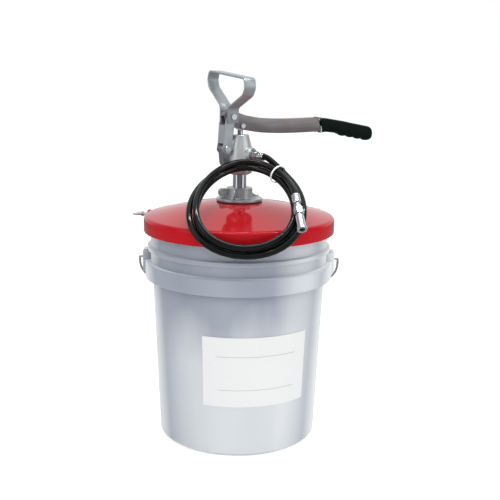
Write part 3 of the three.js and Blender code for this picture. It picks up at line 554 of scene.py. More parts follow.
RED = painted_red()
CAST = cast_metal()
HEAD_METAL = head_metal()
ZINC = zinc_plated()
STRIP = strip_steel()
LEVER_STEEL = lever_steel()
CHROME = bright_chrome()
BRASS = brass()
HOSE = hose_rubber()
GRIP = grip_rubber()
SEAL = seal_rubber()
PLASTIC = pail_plastic()
PAPER = label_paper()
INK = rule_ink()
NYLON = white_nylon("tie_nylon")
BAIL_PLASTIC = white_nylon("bail_plastic")


# ------------------------------------------------------------------ pail, label and bail

def pail_frame(u, w, z):
    """A point laid out on the line of the pail's ears (u) and square to it (w)."""
    return Vector((u * cos(TURN) - w * sin(TURN), u * sin(TURN) + w * cos(TURN), z))


PAIL_TOP = low_high("pail_body")[1].z
BASE_R = 131
SHOULDER_R = 142.8
SHOULDER_Z = 268
NECK_R = 146
RIM_R = 151


def pail_wall(z):
    return BASE_R + (SHOULDER_R - BASE_R) * (z - 3.5) / (SHOULDER_Z - 3.5)


def pail_shell():
    wall = 2.2
    outer = [(0, 2.6), (115, 2.6), (118.5, 0), (126.5, 0), (BASE_R, 4.5), (SHOULDER_R, SHOULDER_Z),
             (143.1, 291.4), (152.5, 291.4), (152.5, 269), (155, 269), (155, 294), (153.4, 295.8),
             (NECK_R, 296.4), (NECK_R - 0.3, 313.6), (RIM_R, 314.6), (RIM_R, 321.4), (NECK_R, 322.8),
             (NECK_R + 0.2, 350), (RIM_R, 353), (RIM_R, PAIL_TOP), (RIM_R - 6, PAIL_TOP)]
    inner = [(NECK_R - wall, 352), (NECK_R - wall, 296), (SHOULDER_R - wall, SHOULDER_Z),
             (BASE_R - wall, 5), (0, 5)]
    shell = turned(outer + inner, 1.3, 160)
    boxes = []
    half = 17
    foot_z = 275
    head_z = 312
    for side in (1, -1):
        corners = [(-half, foot_z), (half, foot_z), (half, head_z), (-half, head_z)]
        outline = fillet(corners, 8, closed=True, steps=6)
        housing = prism(outline, 144.5, 158.4, lambda a, b, depth, s=side: pail_frame(s * depth, a, b))
        boxes.append(soften(housing, 1.2))
    shell = combine("UNION", shell, *boxes)
    holes = []
    for side in (1, -1):
        drill = lathe([(0, 150), (2.7, 150), (2.7, 175), (0, 175)], 24)
        to_side = Matrix.Rotation(TURN, 4, "Z") @ Matrix.Rotation(side * pi / 2, 4, "Y")
        holes.append(moved(drill, Matrix.Translation((0, 0, EAR_Z)) @ to_side))
    piece("pail_shell", combine("DIFFERENCE", shell, *holes), PLASTIC, "pail", "pail_body",
          finish="pail_plastic", sharp=50)


def curved_sheet(from_angle, to_angle, z0, z1, gap, thick):
    """A thin sheet that follows the pail's wall between two angles."""
    across = 48
    bm = bmesh.new()
    loops = []
    for i in range(across + 1):
        a = from_angle + (to_angle - from_angle) * i / across
        corners = [(z0, gap), (z0, gap + thick), (z1, gap + thick), (z1, gap)]
        reaches = [(pail_wall(z) + out, z) for z, out in corners]
        loops.append(point_ring(bm, [(r * cos(a), r * sin(a), z) for r, z in reaches]))
    for first, second in zip(loops, loops[1:]):
        bridge(bm, first, second)
    bm.faces.new(loops[0])
    bm.faces.new(loops[-1])
    return bm


def label():
    low, high = low_high("pail_label")
    start, end = radians(-142.6), radians(-69.2)
    piece("label_sheet", curved_sheet(start, end, low.z, high.z, 0.3, 0.35), PAPER, "pail", "pail_label",
          finish="label_paper", sharp=30)
    tall = high.z - low.z
    for i, height in enumerate((0.72, 0.24)):
        z = low.z + height * tall
        rule = curved_sheet(start + 0.17, end - 0.17, z, z + 1.1, 0.66, 0.05)
        piece(f"label_rule_{i + 1}", rule, INK, "pail", finish="label_paper", sharp=30)


BAIL_DROP = radians(36)
BAIL_REACH = 190


def bail_point(along, out):
    return pail_frame(along, out * cos(BAIL_DROP), EAR_Z - out * sin(BAIL_DROP))


def bail():
    half_span = 166
    side = [(-150.5, 0), (-half_span + 5, 0), (-half_span + 1, 2), (-half_span, 8), (-half_span, 60),
            (-143, 118), (-83, 172), (-40, 188.6)]
    outline = side + [(0, BAIL_REACH)] + [(-a, b) for a, b in reversed(side)]
    path = spline([bail_point(a, b) for a, b in outline], 10)
    piece("bail_wire_bent", sweep(path, circle(2, 20)), ZINC, "bail", "bail_wire", finish="bail_wire")
    half = 38
    grooves = [(8.9 - 0.5 * (i % 2), -half + 2 + i * (2 * half - 4) / 24) for i in range(25)]
    profile = [(3.6, -half), (7.6, -half), (8.8, -half + 1.2), *grooves,
               (8.8, half - 1.2), (7.6, half), (3.6, half)]
    roller = aimed(ring(profile, 0.5, 64), bail_point(0, BAIL_REACH - 0.8), pail_frame(1, 0, 0))
    piece("bail_roller", roller, BAIL_PLASTIC, "bail", "bail_grip", finish="bail_plastic", sharp=50)


# ------------------------------------------------------------------ cover and clamp flange

def cover_shell():
    low, high = low_high("lid")
    rim = (high.x - low.x) / 2
    seat_z = high.z
    skirt_z = low.z
    shoulder_z = skirt_z + 25.4
    dish_z = 383.4
    sheet = 1.5
    round_r = 6
    outer = [(14.2, seat_z), (44, seat_z), (62, seat_z - 2.9), (100, dish_z), (rim - round_r, shoulder_z)]

    def bend(radius, angles):
        turns = [radians(a) for a in angles]
        return [(rim - round_r + radius * sin(t), shoulder_z - round_r + radius * cos(t))
                for t in turns]

    skirt = [(rim, shoulder_z - round_r), (rim, skirt_z + 1), (rim - 0.4, skirt_z), (rim - sheet, skirt_z)]
    under = [(rim - round_r, shoulder_z - sheet), (100, dish_z - sheet), (44, seat_z - sheet),
             (14.2, seat_z - sheet)]
    outer_bend = bend(round_r, range(15, 90, 15))
    inner_bend = bend(round_r - sheet, range(90, 0, -15))
    shell = lathe(outer + outer_bend + skirt + inner_bend + under, 256)
    piece("cover_shell", shell, RED, "cover", "lid", finish="red_paint", sharp=40)


def wing_screw(index):
    low, high = low_high(f"rim_screw_{index}")
    z = (low.z + high.z) / 2
    tip = RIM_R + 0.3
    shank = turned([(0, tip), (2.4, tip), (2.9, tip + 0.8), (2.9, tip + 20), (4.4, tip + 20.6),
                    (4.4, tip + 24), (0, tip + 24)], 0.4, 32)
    shank = moved(shank, Matrix.Translation((0, 0, z)) @ Matrix.Rotation(pi / 2, 4, "Y"))
    half = [(tip + 20.5, 3.2), (tip + 24, 8.6), (tip + 29, 11.4), (tip + 34, 10.6), (tip + 36.6, 8),
            (tip + 35.4, 4.2), (tip + 31.6, 0)]
    edge = [(p.x, p.y) for p in spline([(x, y, 0) for x, y in half], 5)]
    outline = edge + [(x, -y) for x, y in reversed(edge[:-1])]
    wing = soften(prism(outline, z - 1.5, z + 1.5, lambda a, b, depth: (a, b, depth)), 0.8)
    screw = about_z(combine("UNION", shank, wing), SCREW_ANGLES[index - 1])
    plated(f"wing_screw_{index}", screw, f"rim_screw_{'ab'[index - 1]}", f"rim_screw_{index}")
    bore = lathe([(0, -1), (3.3, -1), (3.3, 8), (0, 8)], 24)
    nut = combine("DIFFERENCE", hexagon(7.9, 0, 6), bore)
    nut = moved(nut, Matrix.Translation((157.2, 0, z)) @ Matrix.Rotation(pi / 2, 4, "Y"))
    piece(f"weld_nut_{index}", about_z(nut, SCREW_ANGLES[index - 1]), RED, "cover", f"rim_nut_{index}",
          finish="zinc_plate")


CLAMP_ANGLE = radians(152)
CLAMP_BOLT = (29, 407.5)  # distance from the tube's axis and height
EAR_HALF = 7


def flange_screw_angle(index):
    low, high = low_high(f"flange_screw_{index}")
    return atan2(low.y + high.y, low.x + high.x)


def clamp():
    low, high = low_high("clamp_flange")
    base = low.z
    top = high.z
    disc = turned([(0, base), (38, base), (38, 399), (21.8, 399.2), (21.2, top), (0, top)], 0.9, 120)
    ribs = []
    for i in (1, 2, 3):
        crest = 413 if i == 3 else 407.2  # the rib at the front is taller
        rib = side_plate([(16, 398), (33.5, 398), (21.4, crest), (16, crest)], -1.3, 1.3)
        ribs.append(about_z(rib, flange_screw_angle(i) - radians(15)))
    radius, height = CLAMP_BOLT
    nose = arc(Vector((radius, 0, height)), 6.4, -90, 90)
    ear = side_plate([(16, height - 6.4), *nose, (16, height + 6.4)], -EAR_HALF, EAR_HALF)
    body = combine("UNION", disc, *ribs, about_z(ear, CLAMP_ANGLE))
    tube_hole = lathe([(0, 380), (11.4, 380), (11.4, 430), (0, 430)], 64)
    slot = about_z(box(5, 50, -1.2, 1.2, 400, 420), CLAMP_ANGLE)
    body = combine("DIFFERENCE", body, tube_hole, slot)
    piece("clamp_casting", cast_skin(body, 0.5, 3), CAST, "cover", "clamp_flange",
          finish="cast_zinc", sharp=60)


def hex_screw(radius, tall, shank, length):
    """Hexagon head with a washer face, standing on z = 0 with its shank below."""
    head = hexagon(radius, 0.5, tall)
    washer = radius * 0.84
    stem = turned([(0, -length), (shank - 0.5, -length), (shank, -length + 0.8), (shank, 0.2),
                   (washer, 0.2), (washer, 0.7), (0, 0.7)], 0.15, 32)
    return combine("UNION", head, stem)


def hex_nut(radius, tall, bore):
    hole = lathe([(0, -1), (bore, -1), (bore, tall + 1), (0, tall + 1)], 32)
    return combine("DIFFERENCE", hexagon(radius, 0, tall), hole)


def plated(name, bm, body, *nodes, sharp=35):
    piece(name, bm, ZINC, body, *nodes, finish="zinc_plate", sharp=sharp)


def fastener(name, bm, node, body, origin, direction):
    plated(name, aimed(bm, origin, direction), body, node, sharp=30)


def cover_fasteners():
    for i in (1, 2, 3):
        low, high = low_high(f"flange_screw_{i}")
        centre = (low + high) / 2
        fastener(f"flange_bolt_{i}", hex_screw(4.2, 3.1, 2.5, 13), f"flange_screw_{i}", "cover",
                 (centre.x, centre.y, 399.2), (0, 0, 1))
        low, high = low_high(f"flange_nut_{i}")
        centre = (low + high) / 2
        fastener(f"flange_lock_nut_{i}", hex_nut(4.4, 4, 2.8), f"flange_nut_{i}", "cover",
                 (centre.x, centre.y, low.z), (0, 0, 1))
    side = Vector((-sin(CLAMP_ANGLE), cos(CLAMP_ANGLE), 0))
    radius, height = CLAMP_BOLT
    middle = Vector((radius * cos(CLAMP_ANGLE), radius * sin(CLAMP_ANGLE), height))
    head_at = middle + side * (EAR_HALF + 0.2)
    nut_at = middle - side * (EAR_HALF + 0.3)
    fastener("clamp_screw", hex_screw(5.8, 4.2, 3, 21), "clamp_bolt", "cover", head_at, side)
    fastener("clamp_lock_nut", hex_nut(5.8, 5, 3.3), "clamp_nut", "cover", nut_at, -side)


# ------------------------------------------------------------------ barrel and head

def barrel():
    low, high = low_high("pump_tube")
    radius = (high.x - low.x) / 2
    bore = 9.3
    wall = ring([(bore, low.z), (radius, low.z), (radius, high.z), (bore, high.z)], 0.4)
    piece("barrel_tube", wall, CHROME, "barrel", "pump_tube", finish="chrome")
    low, high = low_high("tube_collar")
    rim = (high.x - low.x) / 2
    flare = [(11.4, low.z), (14.5, low.z), (rim - 0.6, low.z + 2.2), (rim, low.z + 3.6), (rim, high.z),
             (11.4, high.z)]
    piece("collar_ring", ring(flare, 0.7), CAST, "barrel", "tube_collar", finish="cast_zinc")


def head_casting():
    low, high = low_high("pump_head")
    top = high.z
    cone = turned([(0, low.z), (24.6, low.z), (25.4, low.z + 1.4), (25.4, 462), (14.6, top - 1.2),
                   (13.8, top), (0, top)], 0.8, 120)
    eye = [(PIVOT_B.x + 6.6 * cos(a), PIVOT_B.z + 6.6 * sin(a))
           for a in (radians(180 - 12 * k) for k in range(11))]
    lug_outline = [(-10, 452), (-31, 452), (-34, 457), *eye, (-14, 496), (-10.8, top - 1), (-5, top - 1)]
    lug = side_plate(lug_outline, -7.9, 7.9)
    boss = turned([(0, 6), (12.6, 6), (13.5, 20), (13.5, 25.6), (12.2, 27), (10.2, 27), (9.8, 26.4),
                   (0, 26.4)], 0.3, 64)
    body = combine("UNION", cone, lug, aimed(boss, (0, 0, PORT_Z), PORT))
    rod_hole = lathe([(0, 446), (11.4, 446), (11.4, 455), (8.3, 455), (8.3, 492), (4.9, 492), (4.9, 520),
                      (0, 520)], 48)
    port_hole = aimed(lathe([(0, 12), (6.8, 12), (6.8, 40), (0, 40)], 32), (0, 0, PORT_Z), PORT)
    body = combine("DIFFERENCE", body, rod_hole, port_hole)
    piece("head_casting", cast_skin(body, 0.5, 4), HEAD_METAL, "barrel", "pump_head",
          finish="cast_zinc", sharp=60)


def plunger():
    low, high = low_high("piston_rod")
    radius = (high.x - low.x) / 2
    piece("bright_rod", turned([(0, low.z), (radius, low.z), (radius, high.z), (0, high.z)], 0.5), CHROME,
          "plunger", "piston_rod", finish="chrome")


# ------------------------------------------------------------------ link, lever and handle

def arc(centre, radius, start, end, steps=14):
    turns = [radians(start + (end - start) * k / steps) for k in range(steps + 1)]
    return [(centre.x + radius * cos(a), centre.z + radius * sin(a)) for a in turns]


def swing_link():
    half = 11
    inner = 8.5
    sheet = 2.5
    outline = [*arc(PIVOT_A, 9.5, 0, 169, 18), (-33.1, 519), (-35.4, 489), (-37.2, PIVOT_B.z),
               *arc(PIVOT_B, 7.5, 180, 366, 16), (-19.4, 495), (-16, 523)]
    hollow = [(-38, 546), (-38, 518.5), (-33.1 + sheet, 518.5), (-35.4 + sheet, 489), (-46, 489),
              (-46, 460), (4, 460), (4, 546)]
    body = combine("DIFFERENCE", side_plate(outline, -half, half), side_plate(hollow, -inner, inner))
    piece("link_channel", soften(body, 0.7), STRIP, "link", "swing_link", finish="zinc_plate", sharp=40)


LEVER_PATH = [(-20.4, 530.6), (-2, 523.4), (17.8, 519.2), (36.8, 516.5), (71, 514.6), (110, 514.5),
              (148, 515.3)]
LEVER_HALF = 11.7
LEVER_Y = 7.8
LEVER_SHEET = 2.6


def lever():
    """Pressed channel, open below, with a round end at the pivot and a slimmer tang inside the grip."""
    path = spline([(x, 0, z) for x, z in LEVER_PATH], 8)
    tang = [(154, 514.6, LEVER_HALF), (162, 513.4, 7.5), (238, 500.2, 7.5)]
    centre = [(p.x, p.z, LEVER_HALF) for p in path] + tang
    top = []
    bottom = []
    for i, (x, z, half) in enumerate(centre):
        ahead = centre[min(i + 1, len(centre) - 1)]
        behind = centre[max(i - 1, 0)]
        along = Vector((ahead[0] - behind[0], ahead[1] - behind[1])).normalized()
        top.append((x - along.y * half, z + along.x * half))
        bottom.append((x + along.y * half, z - along.x * half))
    first = Vector((centre[1][0] - centre[0][0], centre[1][1] - centre[0][1]))
    lean = degrees(atan2(first.y, first.x)) + 90
    nose = arc(Vector((centre[0][0], 0, centre[0][1])), LEVER_HALF, lean, lean + 180, 20)
    outline = nose + bottom[1:] + top[:0:-1]
    inside = [(x, z - 12) for x, z in bottom[1:]] + [(x, z - LEVER_SHEET) for x, z in top[:0:-1]]
    roof = [(x, z - LEVER_SHEET) for x, z in nose[:1]] + [(x + 1.5, z - LEVER_SHEET) for x, z in nose[1:9]]
    hollow = roof + [(-50, 520), (-50, 495)] + inside
    body = side_plate(outline, -LEVER_Y, LEVER_Y)
    body = combine("DIFFERENCE", body, side_plate(hollow, -LEVER_Y + LEVER_SHEET, LEVER_Y - LEVER_SHEET))
    piece("lever_channel", soften(body, 0.9, 3), LEVER_STEEL, "lever_arm", "lever",
          finish="bare_steel", sharp=40)


def grip_mouth_edge():
    """Bright clip between the lever and the grip's mouth, one plate on each side."""
    outline = [(146.2, 524.2), (151.8, 519.6), (151.6, 501.4), (153.9, 501), (154.7, 520.4), (147.6, 526)]
    near = side_plate(outline, -LEVER_Y - 1.7, -LEVER_Y - 0.1)
    far = side_plate(outline, LEVER_Y + 0.1, LEVER_Y + 1.7)
    plated("grip_clip_near", near, "lever_arm", sharp=30)
    plated("grip_clip_far", far, "lever_arm", sharp=30)


def superellipse(half_wide, top, bottom, power, count=40):
    """Rounded-box section from -half_wide to half_wide across and from bottom to top."""
    middle = (top + bottom) / 2
    tall = (top - bottom) / 2
    shape = []
    for i in range(count):
        a = 2 * pi * i / count
        c, s = cos(a), sin(a)
        shape.append((half_wide * copysign(abs(c) ** (2 / power), c),
                      middle + tall * copysign(abs(s) ** (2 / power), s)))
    return shape


def along_line(line, x):
    """Height of a line of (x, z) points at x."""
    for (x0, z0), (x1, z1) in zip(line, line[1:]):
        if x <= x1:
            return z0 + (z1 - z0) * (x - x0) / (x1 - x0)
    return line[-1][1]


GRIP_BACK = [(144, 530), (151, 528.8), (165, 525.8), (200, 520.3), (226, 515.2), (253, 510.3)]
GRIP_NECK = [(150, 500.6), (166, 502), (187, 499.8), (193, 497.4)]
LAST_LOBE = (250.3, 485.2)
LOBE_RUN = 16.4
LOBE_FALL = 2.97
GRIP_END = 266


def grip_bottom(x):
    """The neck's underside, then four rounded finger lobes."""
    if x < GRIP_NECK[-1][0]:
        return along_line(GRIP_NECK, x)
    turns = (x - LAST_LOBE[0]) / LOBE_RUN
    from_lobe = 2 * abs(turns - round(turns))
    return LAST_LOBE[1] - turns * LOBE_FALL + 3.6 * from_lobe ** 2


def lever_grip():
    """Moulded grip: a slanting mouth with a lip over the lever, a neck, finger lobes and a domed end."""
    dome_start = 252
    stations = [153.8, 154.1, 154.8, 156, 158, 161, 165, 170, 176, 182, 187]
    stations += [189 + 1.2 * i for i in range(53)]
    closer = (0.15, 0.35, 0.55, 0.72, 0.85, 0.94, 0.985, 1.0)
    stations += [dome_start + (GRIP_END - dome_start) * t for t in closer]
    bm = bmesh.new()
    loops = []
    for x in stations:
        top = along_line(GRIP_BACK, x)
        bottom = grip_bottom(min(x, LAST_LOBE[0]))
        mouth = max(0.0, 1 - (x - stations[0]) / 14)
        wide = 10.5 + 0.7 * mouth
        round_in = min(1.0, 0.93 + 0.07 * (x - stations[0]))
        dome = max(0.0, (x - dome_start) / (GRIP_END - dome_start))
        shrink = round_in * sqrt(max(0.001, 1 - dome ** 2.3))
        middle = (top + bottom) / 2 - 0.8 * dome
        tall = (top - bottom) / 2
        section = superellipse(wide * shrink, middle + tall * shrink, middle - tall * shrink, 2.9)
        loop = []
        for y, z in section:
            lip = max(0.0, min(1.0, (z - 517) / 11))
            loop.append((x - 10 * mouth * lip, y, z))
        loops.append(point_ring(bm, loop))
    for first, second in zip(loops, loops[1:]):
        bridge(bm, first, second)
    bm.faces.new(loops[0])
    bm.faces.new(loops[-1])
    piece("grip_moulding", bm, GRIP, "lever_arm", "lever_grip", finish="grip_rubber", sharp=50)


def carry_handle():
    """Flat strip bent into a triangle that leans to the front above its tabs."""
    sheet = 3
    half = 9.75
    middle = 11.4 + sheet / 2
    bend_z = 548
    roll = radians(4.7)
    corners = [(middle, 522.1), (middle, 547), (56.5, 571.5), (62.5, 583), (59, 597.5), (0, 597.5)]
    side = fillet(corners, 12, steps=8)
    line = [(p.x, p.y) for p in side[:-1]] + [(-p.x, p.y) for p in reversed(side[:-1])]
    path = []
    for y, z in line:
        up = z - bend_z
        if up > 0:
            z = bend_z + y * sin(roll) + up * cos(roll)
            y = y * cos(roll) - up * sin(roll)
        path.append(Vector((PIVOT_A.x, y, z)))
    strip = sweep(path, [(-half, -sheet / 2), (half, -sheet / 2), (half, sheet / 2), (-half, sheet / 2)],
                  Vector((1, 0, 0)))
    soften(strip, 0.7, 2, 40)
    pivot = Vector((PIVOT_A.x, 0, PIVOT_A.z))
    lean = Matrix.Translation(pivot) @ Matrix.Rotation(radians(1), 4, "Y") @ Matrix.Translation(-pivot)
    piece("handle_strip", moved(strip, lean), STRIP, "handle", "carry_handle",
          finish="zinc_plate", sharp=30)


def pins():
    """Screws and nuts through the pivots, heads towards the viewer's side (-Y)."""
    sets = [("pivot", PIVOT_A, 14.4, "link", "pivot_bolt", "pivot_nut", 5.2, 3),
            ("link", PIVOT_B, 11, "link", "link_bolt", "link_nut", 5.2, 3),
            ("rod", PIN_C, 7.8, "lever_arm", "rod_pin", "rod_pin_clip", 4.2, 2.5)]
    for name, at, half, body, bolt_node, nut_node, radius, shank in sets:
        bolt = hex_screw(radius, 3.3, shank, 2 * half + 5.4)
        fastener(f"{name}_pin_screw", bolt, bolt_node, body, (at.x, -half - 0.3, at.z), (0, -1, 0))
        nut = hex_nut(radius, 4, shank + 0.3)
        fastener(f"{name}_pin_nut", nut, nut_node, body, (at.x, half + 0.3, at.z), (0, 1, 0))


# ------------------------------------------------------------------ outlet, hose and nozzle

def outlet():
    start = 28.8
    hexagonal = hexagon(8.8, start, start + 6.8)
    core = turned([(0, 24.9), (6.5, 24.9), (6.5, start + 1), (3.6, start + 1), (3.6, start + 12),
                   (0, start + 12)], 0.3, 48)
    fitting = aimed(combine("UNION", hexagonal, core), (0, 0, PORT_Z), PORT)
    plated("outlet_union", fitting, "barrel", "outlet_fitting")
    crimps = [(5.1, 49), (6, 49), (6.4, 47.6), (6.4, 45.6), (6.0, 45), (6.4, 44.4), (6.4, 41.6), (6.0, 41),
              (6.4, 40.4), (6.4, 37), (5.8, 35.9), (3.9, 35.9), (3.9, 42), (5.1, 42)]
    ferrule = aimed(ring(crimps, 0.25, 64), (0, 0, PORT_Z), PORT)
    plated("crimped_ferrule", ferrule, "barrel", "hose_ferrule")


HOSE_FROM = 42.5  # distance of the hose's end from the tube's axis
HOSE_R = 4.8
SLOT_R = 7.1
TIE_AT = 38
COIL_CENTRE = (11.5, -104, 400.5)  # on the pail's line
COIL_HALF = (79.9, 66, 57.6)
COIL_SAG = 30


def bundle(t):
    """Centre, outward, normal and along directions of the hose's tilted loop, `t` degrees clockwise
    from its top."""
    a = radians(t)
    c, s = cos(a), sin(a)
    half_u, half_v, half_z = COIL_HALF
    u, v, z = COIL_CENTRE
    lean = half_v + 2 * COIL_SAG * c
    centre = pail_frame(u + half_u * s, v + half_v * c - COIL_SAG * (1 - c * c), z + half_z * c)
    along = pail_frame(half_u * c, -s * lean, -s * half_z).normalized()
    slope = Vector((0, lean, half_z)).normalized()
    outward = pail_frame(s, c * slope.y, c * slope.z)
    outward = (outward - along * outward.dot(along)).normalized()
    return centre, outward, along.cross(outward).normalized(), along


def strand(t):
    centre, outward, normal, _ = bundle(t)
    phase = radians(16 - 90 * (t - TIE_AT) / 360)
    return centre + outward * (SLOT_R * cos(phase)) + normal * (SLOT_R * sin(phase))


def hose():
    start = PORT * HOSE_FROM + Vector((0, 0, PORT_Z))
    points = [start, start + PORT * 10]
    first_turn = 48
    turn_step = 15
    points += [strand(first_turn + turn_step * i) for i in range(73)]
    points += [NOZZLE_FROM - NOZZLE_AXIS * 7, NOZZLE_FROM + NOZZLE_AXIS * 9]
    coil = sweep(spline(points, 8), circle(HOSE_R, 28))
    piece("hose_coil", coil, HOSE, "barrel", "hose", finish="hose_rubber")


def nozzle():
    def placed(bm):
        return aimed(bm, NOZZLE_FROM, NOZZLE_AXIS)

    crimps = [(5.1, -0.3), (6.1, -0.3), (6.6, 0.8), (6.6, 2.6), (6.1, 3.2), (6.6, 3.8), (6.6, 6.6),
              (6.1, 7.2), (6.6, 7.8), (6.6, 14), (5.8, 16), (3.9, 16), (3.9, 9.4), (5.1, 9.4)]
    plated("nozzle_crimp", placed(ring(crimps, 0.25, 64)), "barrel", "nozzle_ferrule")
    stem = [(2.4, -4), (3.3, -4), (3.3, 16.3), (5.2, 17.5), (5.2, 21), (6.3, 22), (6.3, 24.8), (3.3, 25),
            (3.3, 31), (2.4, 31)]
    plated("nozzle_tail", placed(ring(stem, 0.3, 64)), "barrel", "nozzle_stem")
    nut = combine("DIFFERENCE", hexagon(7.8, 25.3, 36), lathe([(0, 20), (3.6, 20), (3.6, 40), (0, 40)], 32))
    plated("swivel_nut", placed(nut), "hose_nut", "nozzle_nut", sharp=30)
    pipe = [(4.4, 36.4), (5.6, 36.4), (5.6, 39.6), (6.5, 40.6), (6.5, 60), (7.9, 61), (7.9, 64.4),
            (7.4, 65), (4.4, 65)]
    plated("nozzle_pipe", placed(ring(pipe, 0.35, 64)), "barrel", "nozzle")


def cable_tie():
    centre, _, _, along = bundle(TIE_AT)
    inner = SLOT_R + HOSE_R + 1.8
    band = ring([(inner, -1.4), (inner + 1.1, -1.4), (inner + 1.1, 1.4), (inner, 1.4)], 0.3, 80)
    head = soften(box(inner + 0.2, inner + 4.6, -2.7, 2.7, -2.1, 2.1), 0.5)
    piece("cable_tie", aimed(combine("UNION", band, head), centre, along), NYLON, "barrel", "zip_tie",
          finish="tie_nylon")


# ------------------------------------------------------------------ pieces kept from the CAD

def keep_cad_nodes():
    """Inner pieces keep their CAD shape and get this scene's materials."""
    looks = {
        SEAL: ["flange_gasket", "rod_seal", "piston_cup"],
        BRASS: ["foot_valve_body", "seal_retainer", "piston"],
        CHROME: ["foot_valve_ball", "check_ball", "piston_ball"],
        ZINC: ["outlet_washer", "rod_eye", "foot_strainer", "ball_stop_pin", "check_spring"],
    }
    for look, nodes in looks.items():
        for node in nodes:
            obj = frame["nodes"][node]
            obj.data.materials.clear()
            obj.data.materials.append(look)


# ------------------------------------------------------------------ studio

def floor():
    """A white ground. What mirrors it sees it darker, so that shiny pieces keep their own colour."""
    mesh = bpy.data.meshes.new("floor")
    reach = 6
    level = -0.0005
    corners = [(reach * a, reach * b, level) for a, b in ((-1, -1), (1, -1), (1, 1), (-1, 1))]
    mesh.from_pydata(corners, [], [(0, 1, 2, 3)])
    look = Look("floor_white")
    look.set(Roughness=0.7, Specular_IOR_Level=0.0, Emission_Color=(1, 1, 1, 1))
    mirrored = look.tree.nodes.new("ShaderNodeLightPath").outputs["Is Glossy Ray"]
    look.link(look.mix(mirrored, (0.9, 0.9, 0.9), (0.25, 0.25, 0.25)), "Base Color")
    look.link(look.spread(mirrored, 0.4, 0.05, 0, 1), "Emission Strength")
    mesh.materials.append(look.material)
    obj = bpy.data.objects.new("floor", mesh)
    scene.collection.objects.link(obj)


def lamp(name, location, wide, tall, power, reflected):
    """A soft panel aimed at the pump. One that isn't reflected only lights matt surfaces."""
    data = bpy.data.lights.new(name, "AREA")
    data.shape = "RECTANGLE"
    data.size, data.size_y = wide, tall
    data.energy = power
    obj = bpy.data.objects.new(name, data)
    scene.collection.objects.link(obj)
    obj.location = location
    obj.rotation_euler = (Vector((0, 0, 0.35)) - location).to_track_quat("-Z", "Y").to_euler()
    obj.visible_glossy = reflected


class Sky:
    """Builds the studio's brightness by direction, on the camera's own axes."""

    def __init__(self, tree):
        self.tree = tree
        self.coords = tree.nodes.new("ShaderNodeTexCoord").outputs["Generated"]
        self.behind = self.along(pail_frame(0, 1, 0))
        self.up = self.along(Vector((0, 0, 1)))

    def along(self, direction):
        node = self.tree.nodes.new("ShaderNodeVectorMath")
        node.operation = "DOT_PRODUCT"
        self.tree.links.new(self.coords, node.inputs[0])
        node.inputs[1].default_value = direction
        return node.outputs["Value"]

    def math(self, operation, first, second):
        node = self.tree.nodes.new("ShaderNodeMath")
        node.operation = operation
        for socket, value in zip(node.inputs, (first, second)):
            feed(self.tree, socket, value)
        return node.outputs[0]

    def glow(self, colour, strength):
        node = self.tree.nodes.new("ShaderNodeBackground")
        feed(self.tree, node.inputs["Color"], (*colour, 1))
        feed(self.tree, node.inputs["Strength"], strength)
        return node.outputs[0]

    def choose(self, ray, otherwise, then):
        """One of two glows, by the kind of ray that reaches the sky."""
        node = self.tree.nodes.new("ShaderNodeMixShader")
        for socket, value in zip(node.inputs, (ray, otherwise, then)):
            feed(self.tree, socket, value)
        return node.outputs[0]

    def step(self, value, start, end, height):
        """0 below start, rising smoothly to height at end."""
        node = self.tree.nodes.new("ShaderNodeMapRange")
        node.interpolation_type = "SMOOTHSTEP"
        self.tree.links.new(value, node.inputs["Value"])
        for key, number in (("From Min", start), ("From Max", end), ("To Min", 0.0), ("To Max", height)):
            node.inputs[key].default_value = number
        return node.outputs["Result"]

    def panel(self, azimuth, elevation, inner, outer, height):
        """A soft round light panel. Azimuth is from the camera's direction towards the right."""
        a, e = radians(azimuth), radians(elevation)
        flat = pail_frame(sin(a), -cos(a), 0) * cos(e)
        towards = self.along(flat + Vector((0, 0, sin(e))))
        return self.step(towards, cos(radians(outer)), cos(radians(inner)), height)


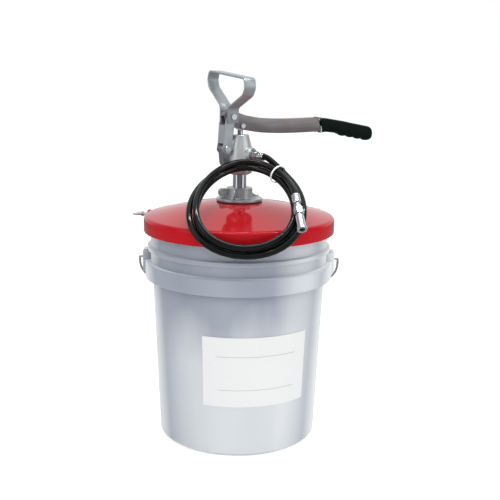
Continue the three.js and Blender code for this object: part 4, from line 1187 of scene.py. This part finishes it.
def surroundings():
    """White to the camera and nearly white to matt surfaces. Shiny ones see a darker room with a
    white backdrop behind the pump, a panel on each side and a bright ceiling."""
    world = bpy.data.worlds.new("studio")
    scene.world = world
    world.use_nodes = True
    tree = world.node_tree
    tree.nodes.clear()
    sky = Sky(tree)
    room = 0.16  # brightness between the panels
    lights = [
        sky.step(sky.behind, 0.25, 0.7, 0.95),
        sky.step(sky.up, 0.55, 0.9, 1.1),
        sky.panel(62, 12, 16, 34, 1.25),
        sky.panel(-52, 15, 14, 30, 1.35),
        sky.panel(-112, 5, 8, 26, 0.55),
        sky.panel(4, 20, 5, 26, 0.42),
    ]
    for light in lights:
        room = sky.math("MAXIMUM", light, room)
    ground = sky.math("ADD", sky.step(sky.up, -0.4, 1.0, 0.45), 0.42)
    shiny = sky.glow((0.96, 0.98, 1.0), room)
    matt = sky.glow((0.97, 0.985, 1.0), ground)
    white = sky.glow((1, 1, 1), 1.0)
    ray = tree.nodes.new("ShaderNodeLightPath").outputs
    by_gloss = sky.choose(ray["Is Glossy Ray"], matt, shiny)
    output = tree.nodes.new("ShaderNodeOutputWorld")
    tree.links.new(sky.choose(ray["Is Camera Ray"], by_gloss, white), output.inputs[0])


def camera():
    """Just under 12 degrees down, on the line square to the pail's ears."""
    data = bpy.data.cameras.new("camera")
    data.sensor_width = 36
    data.lens = 64.09
    obj = bpy.data.objects.new("camera", data)
    scene.collection.objects.link(obj)
    scene.camera = obj
    pitch = radians(11.92)
    roll = radians(0.778)
    right = pail_frame(1, 0, 0)
    forward = pail_frame(0, cos(pitch), -sin(pitch))
    up = right.cross(forward)
    turned_right = right * cos(roll) + up * sin(roll)
    turned_up = up * cos(roll) - right * sin(roll)
    basis = Matrix((turned_right, turned_up, -forward)).transposed().to_4x4()
    obj.matrix_world = Matrix.Translation(pail_frame(18.7, -1454, 617.35) * MM) @ basis


def studio():
    scene.view_settings.view_transform = "Standard"
    floor()
    surroundings()
    lamp("key", pail_frame(-0.1, -1.7, 1.7), 1.2, 1.2, 13, False)
    lamp("fill", pail_frame(1.6, -1.0, 1.0), 1.0, 1.4, 5, False)
    lamp("strip", pail_frame(0.1, -0.35, 1.7), 1.3, 0.06, 10, True)
    camera()


# ------------------------------------------------------------------ everything

pail_shell()
label()
bail()
cover_shell()
clamp()
cover_fasteners()
for number in (1, 2):
    wing_screw(number)
barrel()
head_casting()
plunger()
swing_link()
lever()
grip_mouth_edge()
lever_grip()
carry_handle()
pins()
outlet()
hose()
nozzle()
cable_tie()
keep_cad_nodes()
studio()
